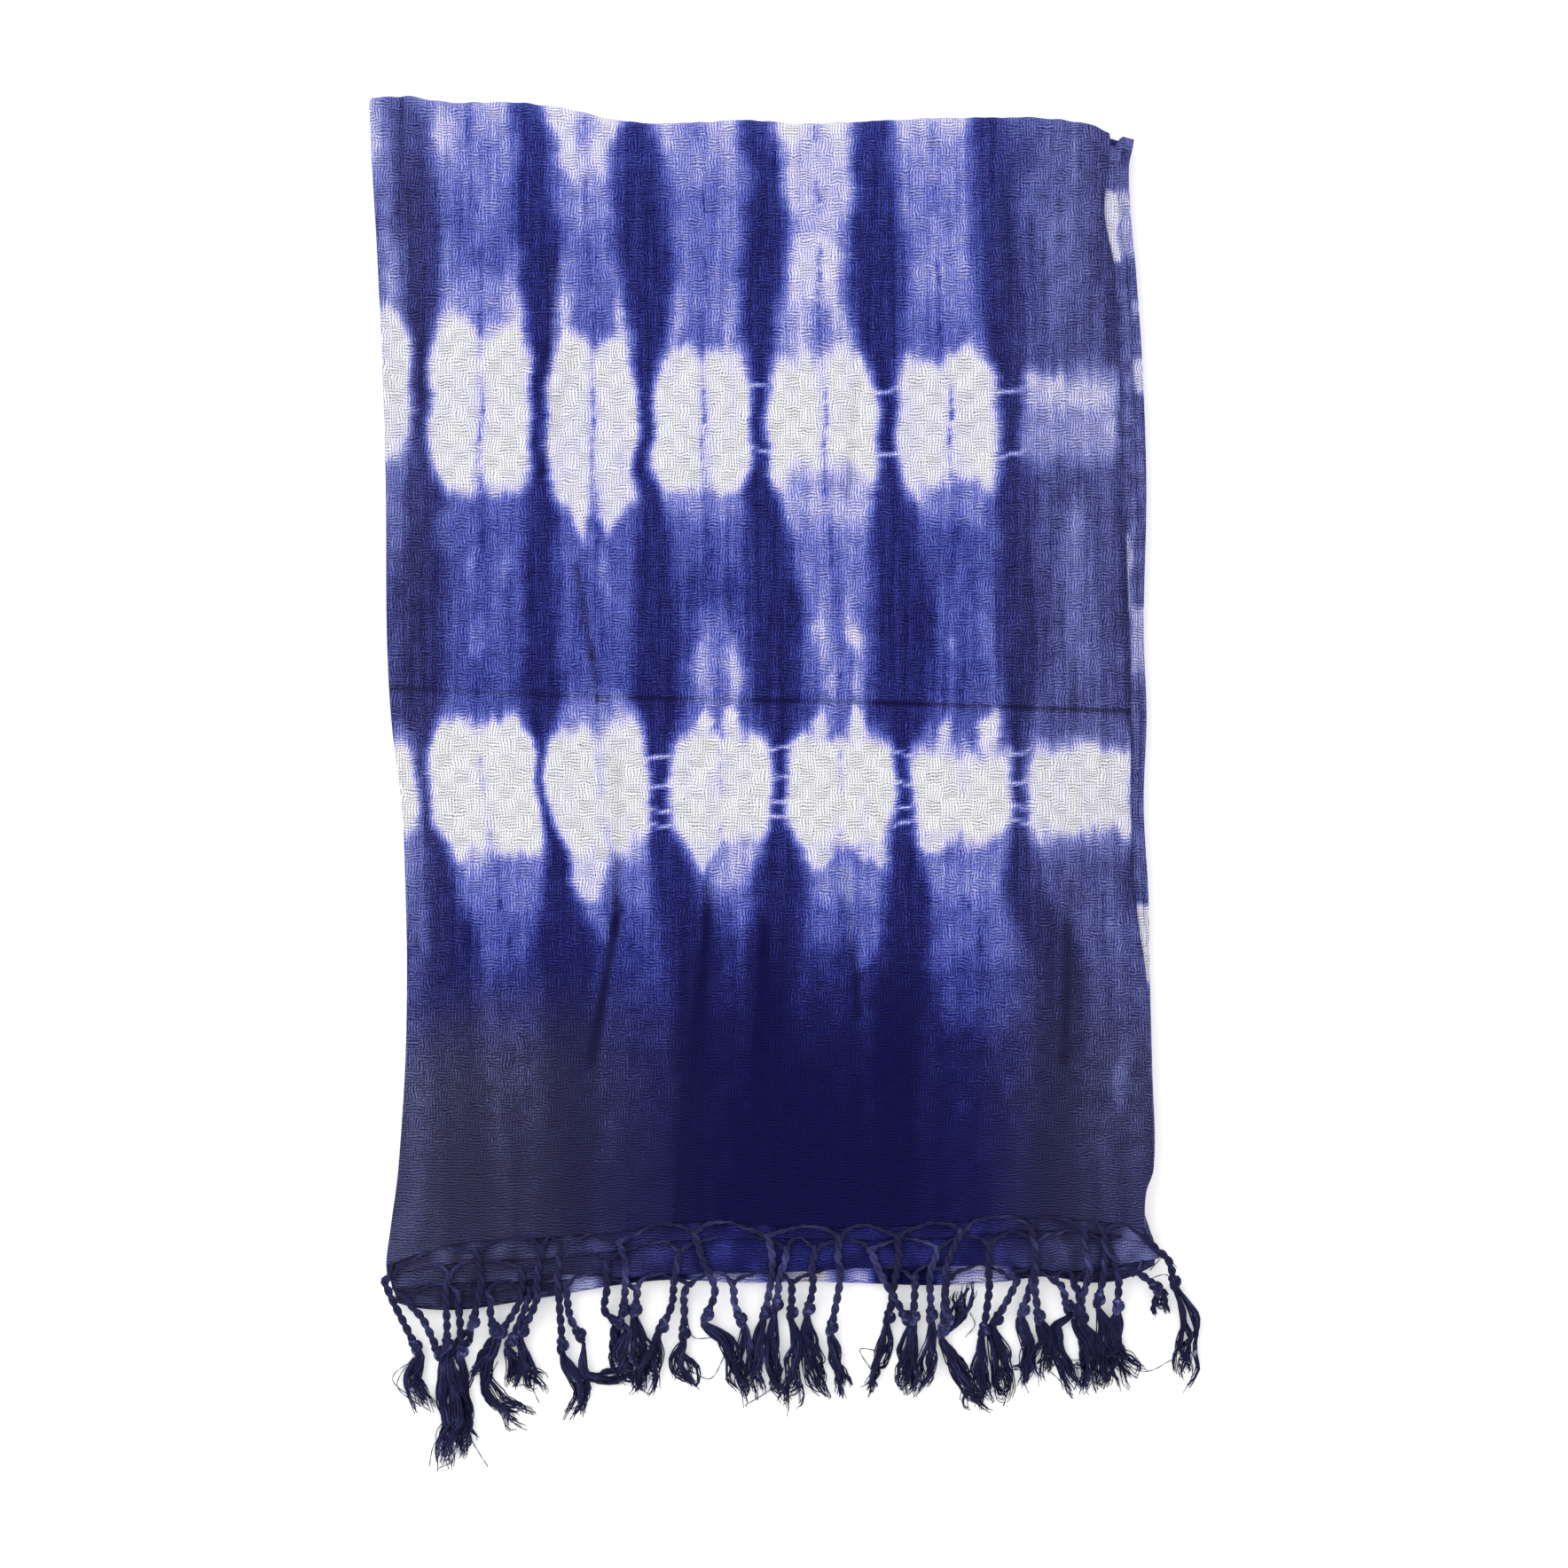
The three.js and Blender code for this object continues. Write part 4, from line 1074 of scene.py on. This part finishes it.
def flat_top(x):
    return top_edge(x) - TURN_RADIUS


def front_selvedge(y):
    return side("front_selvedge", y)


def front_hem(x):
    return hem("front", x)


crease_rows = np.linspace(CREASE_FROM, CREASE_TO, 31)
below_crease = np.concatenate([[0, 0.001, 0.0022], np.linspace(0.004, CREASE_FROM, 137)[:-1]])
above_crease = np.linspace(CREASE_TO, 1, 151)[1:]
flat_rows = np.concatenate([below_crease, crease_rows, above_crease])
# The plain side takes every second row, so the number of rows is odd.
turn_rows = 14 if (len(flat_rows) + 14) % 2 else 15
u, v = np.meshgrid(stations(199, FOLDED_WIDTH), flat_rows)
x, y = lay_out(u, v, front_hem, FRONT_TUCK, front_selvedge, flat_top)
pleat_puckers = sum(np.exp(-(((x - read(STRIPES, "y", f"x{k}", y)) / 2.2) ** 2)) for k in range(1, 7))
z = FRONT_TOP - GAUZE / 2 + swell(x, y) + loft(x, y)
inner = edge_fade(x, y, 10)
z = z + inner * (0.22 * ripple(x, y, 10, 41) + 0.12 * ripple(x, y, 5.5, 42) + 0.3 * pleat_puckers)
z = z - inner * troughs(PRESSED_LINES, x, y)
z = z - lip(x - side("fold", y) - FRONT_TUCK, 0.38) - lip(front_selvedge(y) - x, 0.15)
angle = np.linspace(0, TURN_ANGLE, turn_rows + 1)[1:, None]
radius = TURN_RADIUS - GAUZE / 2
ripples = 0.25 * ripple(x[-1], 0 * x[-1], 9, 43) * np.sin(angle)
turn_y = y[-1] + (radius + ripples) * np.sin(angle)
turn_z = FRONT_TOP - TURN_RADIUS + radius * np.cos(angle) + 0 * turn_y
x = np.concatenate([x, np.repeat(x[-1:], turn_rows, axis=0)])
cloth_y = np.concatenate([y, y[-1] + radius * angle])
y = np.concatenate([y, turn_y])
z = np.concatenate([z, turn_z])
depth = dye_depth(x, np.minimum(cloth_y, 290))
# Painted shade along the pressed lines: the dye is made deeper there, partly dye that gathered in the
# creases and partly painted shade. The tone is also raised there, which greys and darkens the colour as
# painted shade, most in the paler places.
pressed = troughs(PRESSED_LINES, x, cloth_y)
depth = np.clip(depth + 0.26 * pressed * fade(depth / 0.3), 0, 1)
front = gauze_sheet(
    "front_layer",
    np.stack([x, y, z], axis=-1),
    cloth_threads(x, cloth_y),
    depth,
    faded_tone(x, cloth_y) + 2.6 * pressed * (1 - depth),
)
front.data.materials.append(gauze)
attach(front, "root")
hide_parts("front_panel")

# The knotted fringes: the warp threads beyond each hem, gathered in bundles along its edge. Two
# neighbouring bundles are twisted into a cord, which is tied in an overhand knot and opens into a
# tassel of loose threads. The yarn is the cloth's own, dyed dark, with pale specks at the knots.
CORD_RADIUS = 1.6
BUNDLE_RADIUS = 1.1
KNOT_SCALE = 0.68
PLIES = 2
PLY_TURN = 9.0
TASSEL_LOCKS = 6
LOCK_THREADS = 9
THREAD_RADIUS = 0.40
HEM_NAMES = {1: "front", 2: "second", 3: "third"}
HEM_TOPS = {"front": 10.5, "second": 8.85, "third": 7.35}
# Steps along the cords and the tassels' threads, in metres.
CORD_STEP = 0.00095
TASSEL_STEP = 0.002
# For the locks of a tassel, then the threads of a lock: the share of the tassel's width that they
# spread over, and how closely and how far they wander.
SPREADS = (("Locks", 0.70, 58.0, 0.026), ("Threads", 0.30, 90.0, 0.006))
# The cords, from left to right: the hem each leaves and where, a point on its way, its knot, a
# point in its tassel, the tassel's tip and its width.
CORDS = table(
    "hem root way_x way_y knot_x knot_y bend_x bend_y tip_x tip_y spread",
    (1, -159.5, -162.4, -202, -150.1, -229.7, -151.9, -241.9, -146.2, -254.2, 8),
    (3, -153.7, -147.2, -217.4, -140.8, -231.8, -139.3, -250.6, -138.2, -276.5, 9),
    (2, -136.1, -137.2, -215.3, -137.2, -228.7, -133.9, -252.4, -133.6, -274, 9),
    (3, -132.1, -132.1, -215.3, -131.4, -231.8, -129.6, -250.6, -130.3, -270.4, 8),
    (1, -124.9, -123.1, -202, -126.4, -219.2, -129.2, -227.2, -133.9, -238, 6),
    (3, -121, -119.5, -214.6, -118.1, -221.8, -122, -232.6, -127.4, -242.3, 6),
    (2, -106.6, -108.4, -212.4, -115.6, -223.9, -120.2, -248.8, -105.1, -259.2, 8),
    (3, -103, -105.8, -214.6, -111.2, -227.2, -109.4, -236.2, -112.3, -245.2, 7),
    (1, -97.9, -100.8, -210.2, -106.6, -223.2, -105.5, -236.2, -100.4, -246.6, 6),
    (1, -90.7, -91.4, -211, -90.4, -229.3, -84.2, -247.7, -85.7, -258.1, 7),
    (3, -88.9, -86.8, -218.9, -83.2, -224.6, -79.2, -240.5, -58.3, -240.8, 6),
    (2, -72.4, -73.1, -215.3, -67.3, -219.6, -66.2, -230.8, -65.2, -238, 8),
    (1, -67.3, -64.4, -200.2, -65.2, -214.6, -67, -227.2, -61.9, -243.4, 8),
    (3, -60.5, -59.4, -203.8, -60.5, -214.6, -58.3, -227.2, -54.4, -246.2, 9),
    (2, -42.1, -45.7, -212.4, -49.7, -221.4, -53.6, -232.6, -58.3, -245.5, 8),
    (3, -38.5, -40.7, -212.4, -40.7, -224.3, -43.2, -234.4, -37.8, -245.5, 7),
    (1, -36.5, -28.1, -205.6, -31.3, -216.7, -23.8, -226.1, -15.5, -247.7, 8),
    (3, -21.2, -20.2, -211.7, -17.6, -218.2, -16.6, -232.6, -14.8, -245.2, 6),
    (1, -6.8, -5, -200.2, -7.6, -216, -11.5, -230.8, -11.5, -246.2, 8),
    (2, 1.1, -1.4, -198.4, -2.9, -212.4, -3.6, -229, 0, -252, 6),
    (3, 3.2, 3.2, -203.8, 3.2, -215.6, 6.1, -227.2, 1.8, -248.8, 8),
    (2, 13, 11.9, -203.8, 10.1, -214.2, 10.1, -227.2, 15.8, -247.7, 8),
    (1, 22.7, 23, -200.2, 19.4, -221.8, 20.9, -234.4, 23.4, -248.8, 7),
    (2, 34.9, 38.9, -198.4, 49.7, -217.4, 49.7, -230.8, 47.9, -246.2, 6),
    (1, 46.1, 45.4, -200.2, 42.8, -217.8, 41.8, -232.6, 33.1, -246.6, 7),
    (3, 52.6, 53.6, -200.2, 52.9, -217.4, 52.2, -230.8, 51.1, -243.4, 6),
    (2, 62.6, 59.4, -198.7, 60.1, -216.7, 59, -230.8, 57.2, -245.5, 7),
    (3, 67.7, 65.5, -207.4, 64.8, -223.2, 69.8, -235.4, 79.2, -253.4, 9),
    (1, 72.4, 65.5, -200.2, 67, -218.9, 71.6, -214.3, 72.7, -205.6, 5),
    (2, 83.5, 83.5, -205.6, 81.4, -222.8, 81, -234.4, 81.4, -252.4, 8),
    (3, 92.2, 95, -202, 86.8, -218.5, 88.6, -234.4, 88.6, -250.6, 8),
    (1, 100.4, 101.5, -198.4, 97.6, -214.6, 99.4, -227.2, 95.8, -242.6, 9),
    (2, 101.5, 102.2, -205.6, 104, -217.1, 107.6, -227.2, 105.1, -239.8, 8),
    (3, 110.2, 112.7, -203.8, 115.9, -213.1, 110.2, -221.8, 118.1, -249.1, 7),
    (3, 118, 119.5, -205.6, 121.7, -218.2, 126.7, -230.8, 128.2, -247, 8),
    (1, 122.3, 124.2, -196.6, 120.2, -214.6, 125.3, -227.2, 121.7, -245.5, 8),
    (1, 130.2, 130.3, -196.6, 128.2, -210.2, 131.8, -225.4, 133.9, -242.6, 8),
    (2, 130.3, 136.1, -200.2, 136.1, -213.1, 135.4, -229, 144, -242.3, 8),
    (3, 142.6, 149, -202.3, 151.9, -205.6, 153.7, -210.2, 154.8, -216, 4),
    (1, 147.3, 156.2, -193.3, 159.1, -203, 167, -225.4, 161.3, -241.9, 7),
)
# Stray threads that hang loose from the tassels, each by three points.
STRAYS = table(
    "x1 y1 x2 y2 x3 y3",
    (-148, -233, -160, -243, -147, -254),
    (-150, -232, -158, -246, -145, -256),
    (-136, -262, -143, -270, -145, -279),
    (-134, -264, -139, -272, -137, -280),
    (-131, -262, -126, -271, -121, -279),
    (-133, -270, -136, -277, -141, -279.5),
    (-117, -236, -121, -246, -118, -256),
    (-111, -246, -104, -246, -100, -253),
    (-40, -217, -37, -226, -28, -226),
    (-38, -240, -30, -243, -24, -233),
    (1, -236, -4, -246, -16, -254),
    (4, -222, 7, -228, 3, -236),
    (40, -232, 31, -231, 36, -240),
    (64, -220, 62, -226, 66, -222),
    (76, -216, 78, -221, 74, -226),
    (102, -238, 98, -243, 100, -249),
    (106, -238, 112, -243, 118, -251),
    (136, -236, 148, -240, 159, -235),
    (149, -198, 155, -192, 160, -197),
    (148, -202, 156, -200, 159, -206),
)


class Recipe(NodeWork):
    """A tree of Geometry Nodes with named sizes, which turns a wire of routes into yarn."""

    def __init__(self, name, sizes):
        self.tree = bpy.data.node_groups.new(name, "GeometryNodeTree")
        new_socket = self.tree.interface.new_socket
        new_socket("Geometry", in_out="INPUT", socket_type="NodeSocketGeometry")
        new_socket("Geometry", in_out="OUTPUT", socket_type="NodeSocketGeometry")
        self.identifiers = {}
        for label, kind in sizes.items():
            socket = new_socket(label, in_out="INPUT", socket_type=kind)
            self.identifiers[label] = socket.identifier
        self.group_input = self.tree.nodes.new("NodeGroupInput")

    def size(self, label):
        return Wire(self, self.group_input.outputs[label])

    def attribute(self, name):
        return self.node("GeometryNodeInputNamedAttribute", {"data_type": "FLOAT"}, {"Name": name})

    def vector(self, operation, *values):
        return self.node("ShaderNodeVectorMath", {"operation": operation}, dict(enumerate(values)))

    def scaled(self, vector, amount):
        return self.node("ShaderNodeVectorMath", {"operation": "SCALE"}, {0: vector, "Scale": amount})

    def shift(self, geometry, offset):
        return self.node("GeometryNodeSetPosition", {}, {"Geometry": geometry, "Offset": offset})

    def routes(self):
        """The wire as curves, with a point at each step."""
        wire = Wire(self, self.group_input.outputs[0])
        curves = self.node("GeometryNodeMeshToCurve", {}, {"Mesh": wire})
        spacing = {"Curve": curves, "Length": self.size("Step")}
        return self.node("GeometryNodeResampleCurve", {"mode": "LENGTH"}, spacing)

    def copies(self, curves, amount):
        """As many copies of each curve as the size of that name says."""
        doubling = {"Geometry": curves, "Amount": self.size(amount)}
        return self.node("GeometryNodeDuplicateElements", {"domain": "SPLINE"}, doubling)

    def strand_number(self):
        index = self.node("GeometryNodeInputIndex", {}, {})
        return self.node("GeometryNodeFieldOnDomain", {"data_type": "INT", "domain": "CURVE"}, {0: index})

    def chance(self, low, high, seed):
        inputs = {2: low, 3: high, "ID": self.strand_number(), "Seed": seed}
        return self.node("FunctionNodeRandomValue", {"data_type": "FLOAT"}, inputs, 1)

    def spin(self, curve, radius, sides):
        """Gives curves their thickness, and their own number for the colour of each strand."""
        curve = self.node(
            "GeometryNodeStoreNamedAttribute",
            {"data_type": "FLOAT", "domain": "CURVE"},
            {"Geometry": curve, "Name": "strand", "Value": self.chance(0.0, 1.0, 5)},
        )
        circle = self.node("GeometryNodeCurvePrimitiveCircle", {}, {"Resolution": sides, "Radius": 1.0})
        spun = {"Curve": curve, "Profile Curve": circle, "Scale": radius, "Fill Caps": True}
        mesh = self.node("GeometryNodeCurveToMesh", {}, spun)
        mesh = self.node("GeometryNodeRealizeInstances", {}, {"Geometry": mesh})
        mesh = self.node("GeometryNodeSetMaterial", {}, {"Geometry": mesh, "Material": self.size("Yarn")})
        output = self.tree.nodes.new("NodeGroupOutput")
        self.tree.links.new(mesh.socket, output.inputs[0])

    def make(self, name, wire, values):
        """Runs the tree on a wire and returns the yarn as a plain object."""
        modifier = wire.modifiers.new(name, "NODES")
        modifier.node_group = self.tree
        for label, value in values.items():
            modifier[self.identifiers[label]] = value
        ready = wire.evaluated_get(bpy.context.evaluated_depsgraph_get())
        made = bpy.data.objects.new(name, bpy.data.meshes.new_from_object(ready))
        studio.collection.objects.link(made)
        bpy.data.objects.remove(wire)
        return made


# Two plies that turn round each other along each route. The twist is an angle for each metre.
twisting = Recipe(
    "twisted cord",
    {
        "Plies": "NodeSocketInt",
        "Twist": "NodeSocketFloat",
        "Step": "NodeSocketFloat",
        "Yarn": "NodeSocketMaterial",
    },
)
plies = twisting.copies(twisting.routes(), "Plies")
ply_number = Wire(twisting, plies.socket.node.outputs[1])
along = twisting.node("GeometryNodeSplineParameter", {}, {}, 1)
angle = along * twisting.size("Twist") + ply_number * math.pi
normal = twisting.node("GeometryNodeInputNormal", {}, {})
tangent = twisting.node("GeometryNodeInputTangent", {}, {})
sideways = twisting.vector("CROSS_PRODUCT", normal, tangent)
thick = twisting.attribute("thick")
offset = twisting.vector(
    "ADD",
    twisting.scaled(normal, angle.math("COSINE", angle) * thick * 0.48),
    twisting.scaled(sideways, angle.math("SINE", angle) * thick * 0.48),
)
twisting.spin(twisting.shift(plies, offset), thick * 0.6, 7)

# Loose threads that spread from each route, end unevenly and lie on the table.
fraying = Recipe(
    "tassel",
    {
        "Locks": "NodeSocketInt",
        "Threads": "NodeSocketInt",
        "Thread": "NodeSocketFloat",
        "Step": "NodeSocketFloat",
        "Yarn": "NodeSocketMaterial",
    },
)
along = fraying.node("GeometryNodeSplineParameter", {}, {}, 0)
tangent = fraying.node("GeometryNodeInputTangent", {}, {})
sideways = fraying.vector("NORMALIZE", fraying.vector("CROSS_PRODUCT", tangent, (0, 0, 1)))
threads = fraying.routes()
for label, share, pace, bend in SPREADS:
    threads = fraying.copies(threads, label)
    seed = int(pace)
    angle = fraying.chance(0.0, 2 * math.pi, seed) + along * fraying.chance(-2.6, 2.6, seed + 1)
    reach = fraying.chance(0.0, 1.0, seed + 2)
    reach = reach.math("SQRT", reach) * fraying.attribute("thick") * share
    place = fraying.node("GeometryNodeInputPosition", {}, {})
    spot = fraying.scaled((1, 2, 3), fraying.strand_number() * 0.37)
    spot = fraying.vector("ADD", fraying.scaled(place, pace), spot)
    wander = fraying.node("ShaderNodeTexNoise", {}, {"Vector": spot, "Scale": 1.0, "Detail": 1.0}, 1)
    wander = fraying.scaled(fraying.vector("SUBTRACT", wander, (0.5, 0.5, 0.5)), along * bend)
    offset = fraying.vector(
        "ADD",
        fraying.scaled(sideways, angle.math("COSINE", angle) * reach),
        fraying.scaled((0, 0, 1), angle.math("SINE", angle) * reach * 0.45),
    )
    threads = fraying.shift(threads, fraying.vector("ADD", offset, wander))
ends = {"Curve": threads, "End": fraying.chance(0.82, 1.0, 3)}
threads = fraying.node("GeometryNodeTrimCurve", {"mode": "FACTOR"}, ends)
place = fraying.node("GeometryNodeInputPosition", {}, {})
heights = fraying.node("ShaderNodeSeparateXYZ", {}, {0: place}, 2)
parts = heights.socket.node.outputs
lifted = fraying.node(
    "ShaderNodeCombineXYZ",
    {},
    {0: Wire(fraying, parts[0]), 1: Wire(fraying, parts[1]), 2: heights.math("MAXIMUM", heights, 0.00045)},
)
threads = fraying.node("GeometryNodeSetPosition", {}, {"Geometry": threads, "Position": lifted})
fraying.spin(threads, fraying.size("Thread") * (1 - 0.55 * along * along), 3)


def smooth_route(points, step=1.0):
    """Points at even steps on a smooth line through a few given ones."""
    points = np.array(points, dtype=float)
    reach = np.concatenate([[0], np.cumsum(np.linalg.norm(np.diff(points, axis=0), axis=1))])
    at = np.linspace(0, reach[-1], max(3, int(reach[-1] / step) + 1))
    return np.stack([read({"s": reach, "p": points[:, k]}, "s", "p", at) for k in range(3)], axis=1)


def wire_of(name, routes):
    """A wire of routes, each with its points in millimetres, their thickness and their paleness."""
    points = np.concatenate([route[0] for route in routes])
    edges = []
    first = 0
    for route in routes:
        count = len(route[0])
        edges += [(first + k, first + k + 1) for k in range(count - 1)]
        first += count
    mesh = bpy.data.meshes.new(name)
    mesh.from_pydata((points * 0.001 + np.array([*MIDDLE, 0])).tolist(), edges, [])
    for label, column, unit in (("thick", 1, 0.001), ("pale", 2, 1)):
        values = np.concatenate([np.broadcast_to(route[column], len(route[0])) for route in routes])
        layer = mesh.attributes.new(label, "FLOAT", "POINT")
        layer.data.foreach_set("value", (values * unit).astype(np.float32))
    wire = bpy.data.objects.new(name, mesh)
    studio.collection.objects.link(wire)
    return wire


def bed(x, y):
    """Height of what a cord lies on: the lower layers and their hems, then the table."""
    height = 0.3 + 5.5 * fade((y - hem("fold", x) + 12) / 12)
    height = height + 1.5 * fade((y - hem("third", x) + 3) / 3)
    return height + 1.5 * fade((y - hem("second", x) + 3) / 3)


def hem_bundle(hem_name, root, far_x, share, sag, fork):
    """A bundle of threads: from the hem beside a cord, along it, to the fork where the cord starts."""
    top = HEM_TOPS[hem_name]
    mid_x = mix(root, far_x, share)
    near_x = mix(root, far_x, 0.22)
    return smooth_route([
        (far_x, hem(hem_name, far_x) + 0.6, top - 0.1),
        (mid_x, hem(hem_name, mid_x) - sag, top + 0.3),
        (near_x, hem(hem_name, near_x) - 1.8 - 0.6 * sag, top - 0.1),
        fork,
    ])


def overhand_knot(middle, ahead):
    """The loops of a knot about its middle, longest in the direction of its cord."""
    across = np.cross(ahead, (0, 0, 1))
    across /= np.linalg.norm(across)
    up = np.cross(across, ahead)
    turn = np.linspace(0, 2 * math.pi, 40)[:, None]
    long_way = 1.5 * ahead * (np.sin(turn) + 2 * np.sin(2 * turn))
    wide_way = 0.85 * across * (np.cos(turn) - 2 * np.cos(2 * turn))
    return middle + (long_way + wide_way - up * 1.3 * np.sin(3 * turn)) * KNOT_SCALE


def cord_routes(hem_name, chosen):
    """Routes of one hem's bundles, cords and knots, and of its tassels."""
    roots = CORDS["root"][chosen]
    every_cord = rows_of(CORDS)
    cords = []
    tassels = []
    for number, k in enumerate(chosen):
        row = every_cord[k]
        root = row["root"]
        edge = hem(hem_name, root)
        lift = 0.5 + 0.9 * (k % 3)
        fork = (root, edge - 5.2, bed(root, edge - 5.2) + CORD_RADIUS)
        for hand in (-1, 1):
            beside = number + hand
            gap = abs(roots[beside] - root) / 2 if 0 <= beside < len(roots) else 7
            span = hand * min(gap, 15)
            far_x = np.clip(root + span, side("fold", -200) + 2, side("front_selvedge", -185) - 1)
            share = 0.5 + 0.12 * math.sin(2.3 * k + hand)
            sag = 0.9 + 1.3 * math.sin(4.1 * k + 2.6 * hand)
            bundle = hem_bundle(hem_name, root, far_x, share, sag, fork)
            cords.append((bundle, np.linspace(0.55, 1, len(bundle)) * BUNDLE_RADIUS, 0.0))
        wave = 1.1 * math.sin(5.3 * k + 0.6)
        way = (row["way_x"], row["way_y"])
        middle = ((root + way[0]) / 2 + wave, (edge - 4.2 + way[1]) / 2)
        knot = np.array([row["knot_x"], row["knot_y"], 0])
        knot[2] = bed(knot[0], knot[1]) + 3.1 + 0.6 * lift
        cord = smooth_route([
            (root, edge - 3.2, fork[2]),
            (*middle, bed(*middle) + CORD_RADIUS + 0.2),
            (*way, bed(*way) + CORD_RADIUS + 0.4 * lift),
            knot,
        ])
        cords.append((cord, CORD_RADIUS, 0.05))
        ahead = cord[-1] - cord[-4]
        ahead /= np.linalg.norm(ahead)
        cords.append((overhand_knot(knot, ahead), 0.80 * CORD_RADIUS, 0.3))
        bend = (row["bend_x"], row["bend_y"])
        tip = (row["tip_x"], row["tip_y"])
        tassel = smooth_route([
            knot + ahead * 0.5,
            knot + ahead * 4 - (0, 0, 0.8),
            (*bend, bed(*bend) + 1.6 + 0.9 * lift),
            (*tip, bed(*tip) + 1.0 + 0.5 * lift),
        ], 1.5)
        t = np.linspace(0, 1, len(tassel))
        width = mix(1.2, 0.54 * row["spread"], fade(t / 0.4)) * (1 - 0.25 * fade((t - 0.7) / 0.3))
        tassels.append((tassel, width, 0.25 * (1 - fade(t / 0.25))))
    return cords, tassels


def stray_routes(number):
    """Routes of a third of the stray threads, for the hem of that number."""
    strays = []
    for row in rows_of(STRAYS)[number - 1::3]:
        stops = [(row[f"x{n}"], row[f"y{n}"]) for n in (1, 2, 3)]
        strays.append((smooth_route([(*stop, bed(*stop) + 0.8) for stop in stops]), 0.2, 0.0))
    return strays


def yarn_finish(name):
    """The fringe's yarn: dark threads of uneven depth, with pale specks where a knot kept dye out."""
    finish = Finish(name, 0.95, 0.0)
    place = finish.node("ShaderNodeTexCoord", {}, {}, "Object")
    strand = finish.node("ShaderNodeAttribute", {"attribute_name": "strand"}, {}, "Fac")
    pale = finish.node("ShaderNodeAttribute", {"attribute_name": "pale"}, {}, "Fac")
    cloudy = finish.noise(place, (90, 90, 90), 2)
    fibres = finish.noise(place, (900, 900, 900), 5) - 0.5
    specks = finish.noise(place, (420, 420, 420), 9, 1.0)
    speck = ((specks - 0.60) * 9.0).clamped() * pale
    depth = 0.95 - 0.20 * strand * cloudy - 0.3 * (cloudy - 0.45).clamped() * strand
    depth = depth - pale * 0.10 + fibres * 0.10
    depth = (depth - 0.75 * speck).clamped()
    color = finish.node("ShaderNodeValToRGB", {"stops": DYE_SHADES}, {0: depth})
    greyed = {"Saturation": 0.78, "Value": 0.78, "Color": color}
    color = finish.node("ShaderNodeHueSaturation", {}, greyed)
    finish.join(finish.surface.inputs["Base Color"], color)
    bump = finish.node("ShaderNodeBump", {}, {"Strength": 0.4, "Distance": 0.0002, "Height": fibres})
    finish.join(finish.surface.inputs["Normal"], bump)
    return finish.material


yarn = yarn_finish("dark twisted yarn")
cord_sizes = {
    "Plies": PLIES,
    "Twist": 2 * math.pi / (PLY_TURN * 0.001),
    "Step": CORD_STEP,
    "Yarn": yarn,
}
tassel_sizes = {
    "Locks": TASSEL_LOCKS,
    "Threads": LOCK_THREADS,
    "Thread": THREAD_RADIUS * 0.001,
    "Step": TASSEL_STEP,
    "Yarn": yarn,
}
for number, hem_name in HEM_NAMES.items():
    chosen = [k for k in range(len(CORDS["hem"])) if CORDS["hem"][k] == number]
    cords, tassels = cord_routes(hem_name, chosen)
    strays = stray_routes(number)
    cord_yarn = twisting.make(f"{hem_name}_cords", wire_of("cord_wire", cords + strays), cord_sizes)
    tassel_yarn = fraying.make(f"{hem_name}_tassels", wire_of("tassel_wire", tassels), tassel_sizes)
    fringe = join_pieces(f"{hem_name}_fringe", [cord_yarn, tassel_yarn])
    fringe.data.shade_smooth()
    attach(fringe, "root")
    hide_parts(f"fringe_{hem_name}")
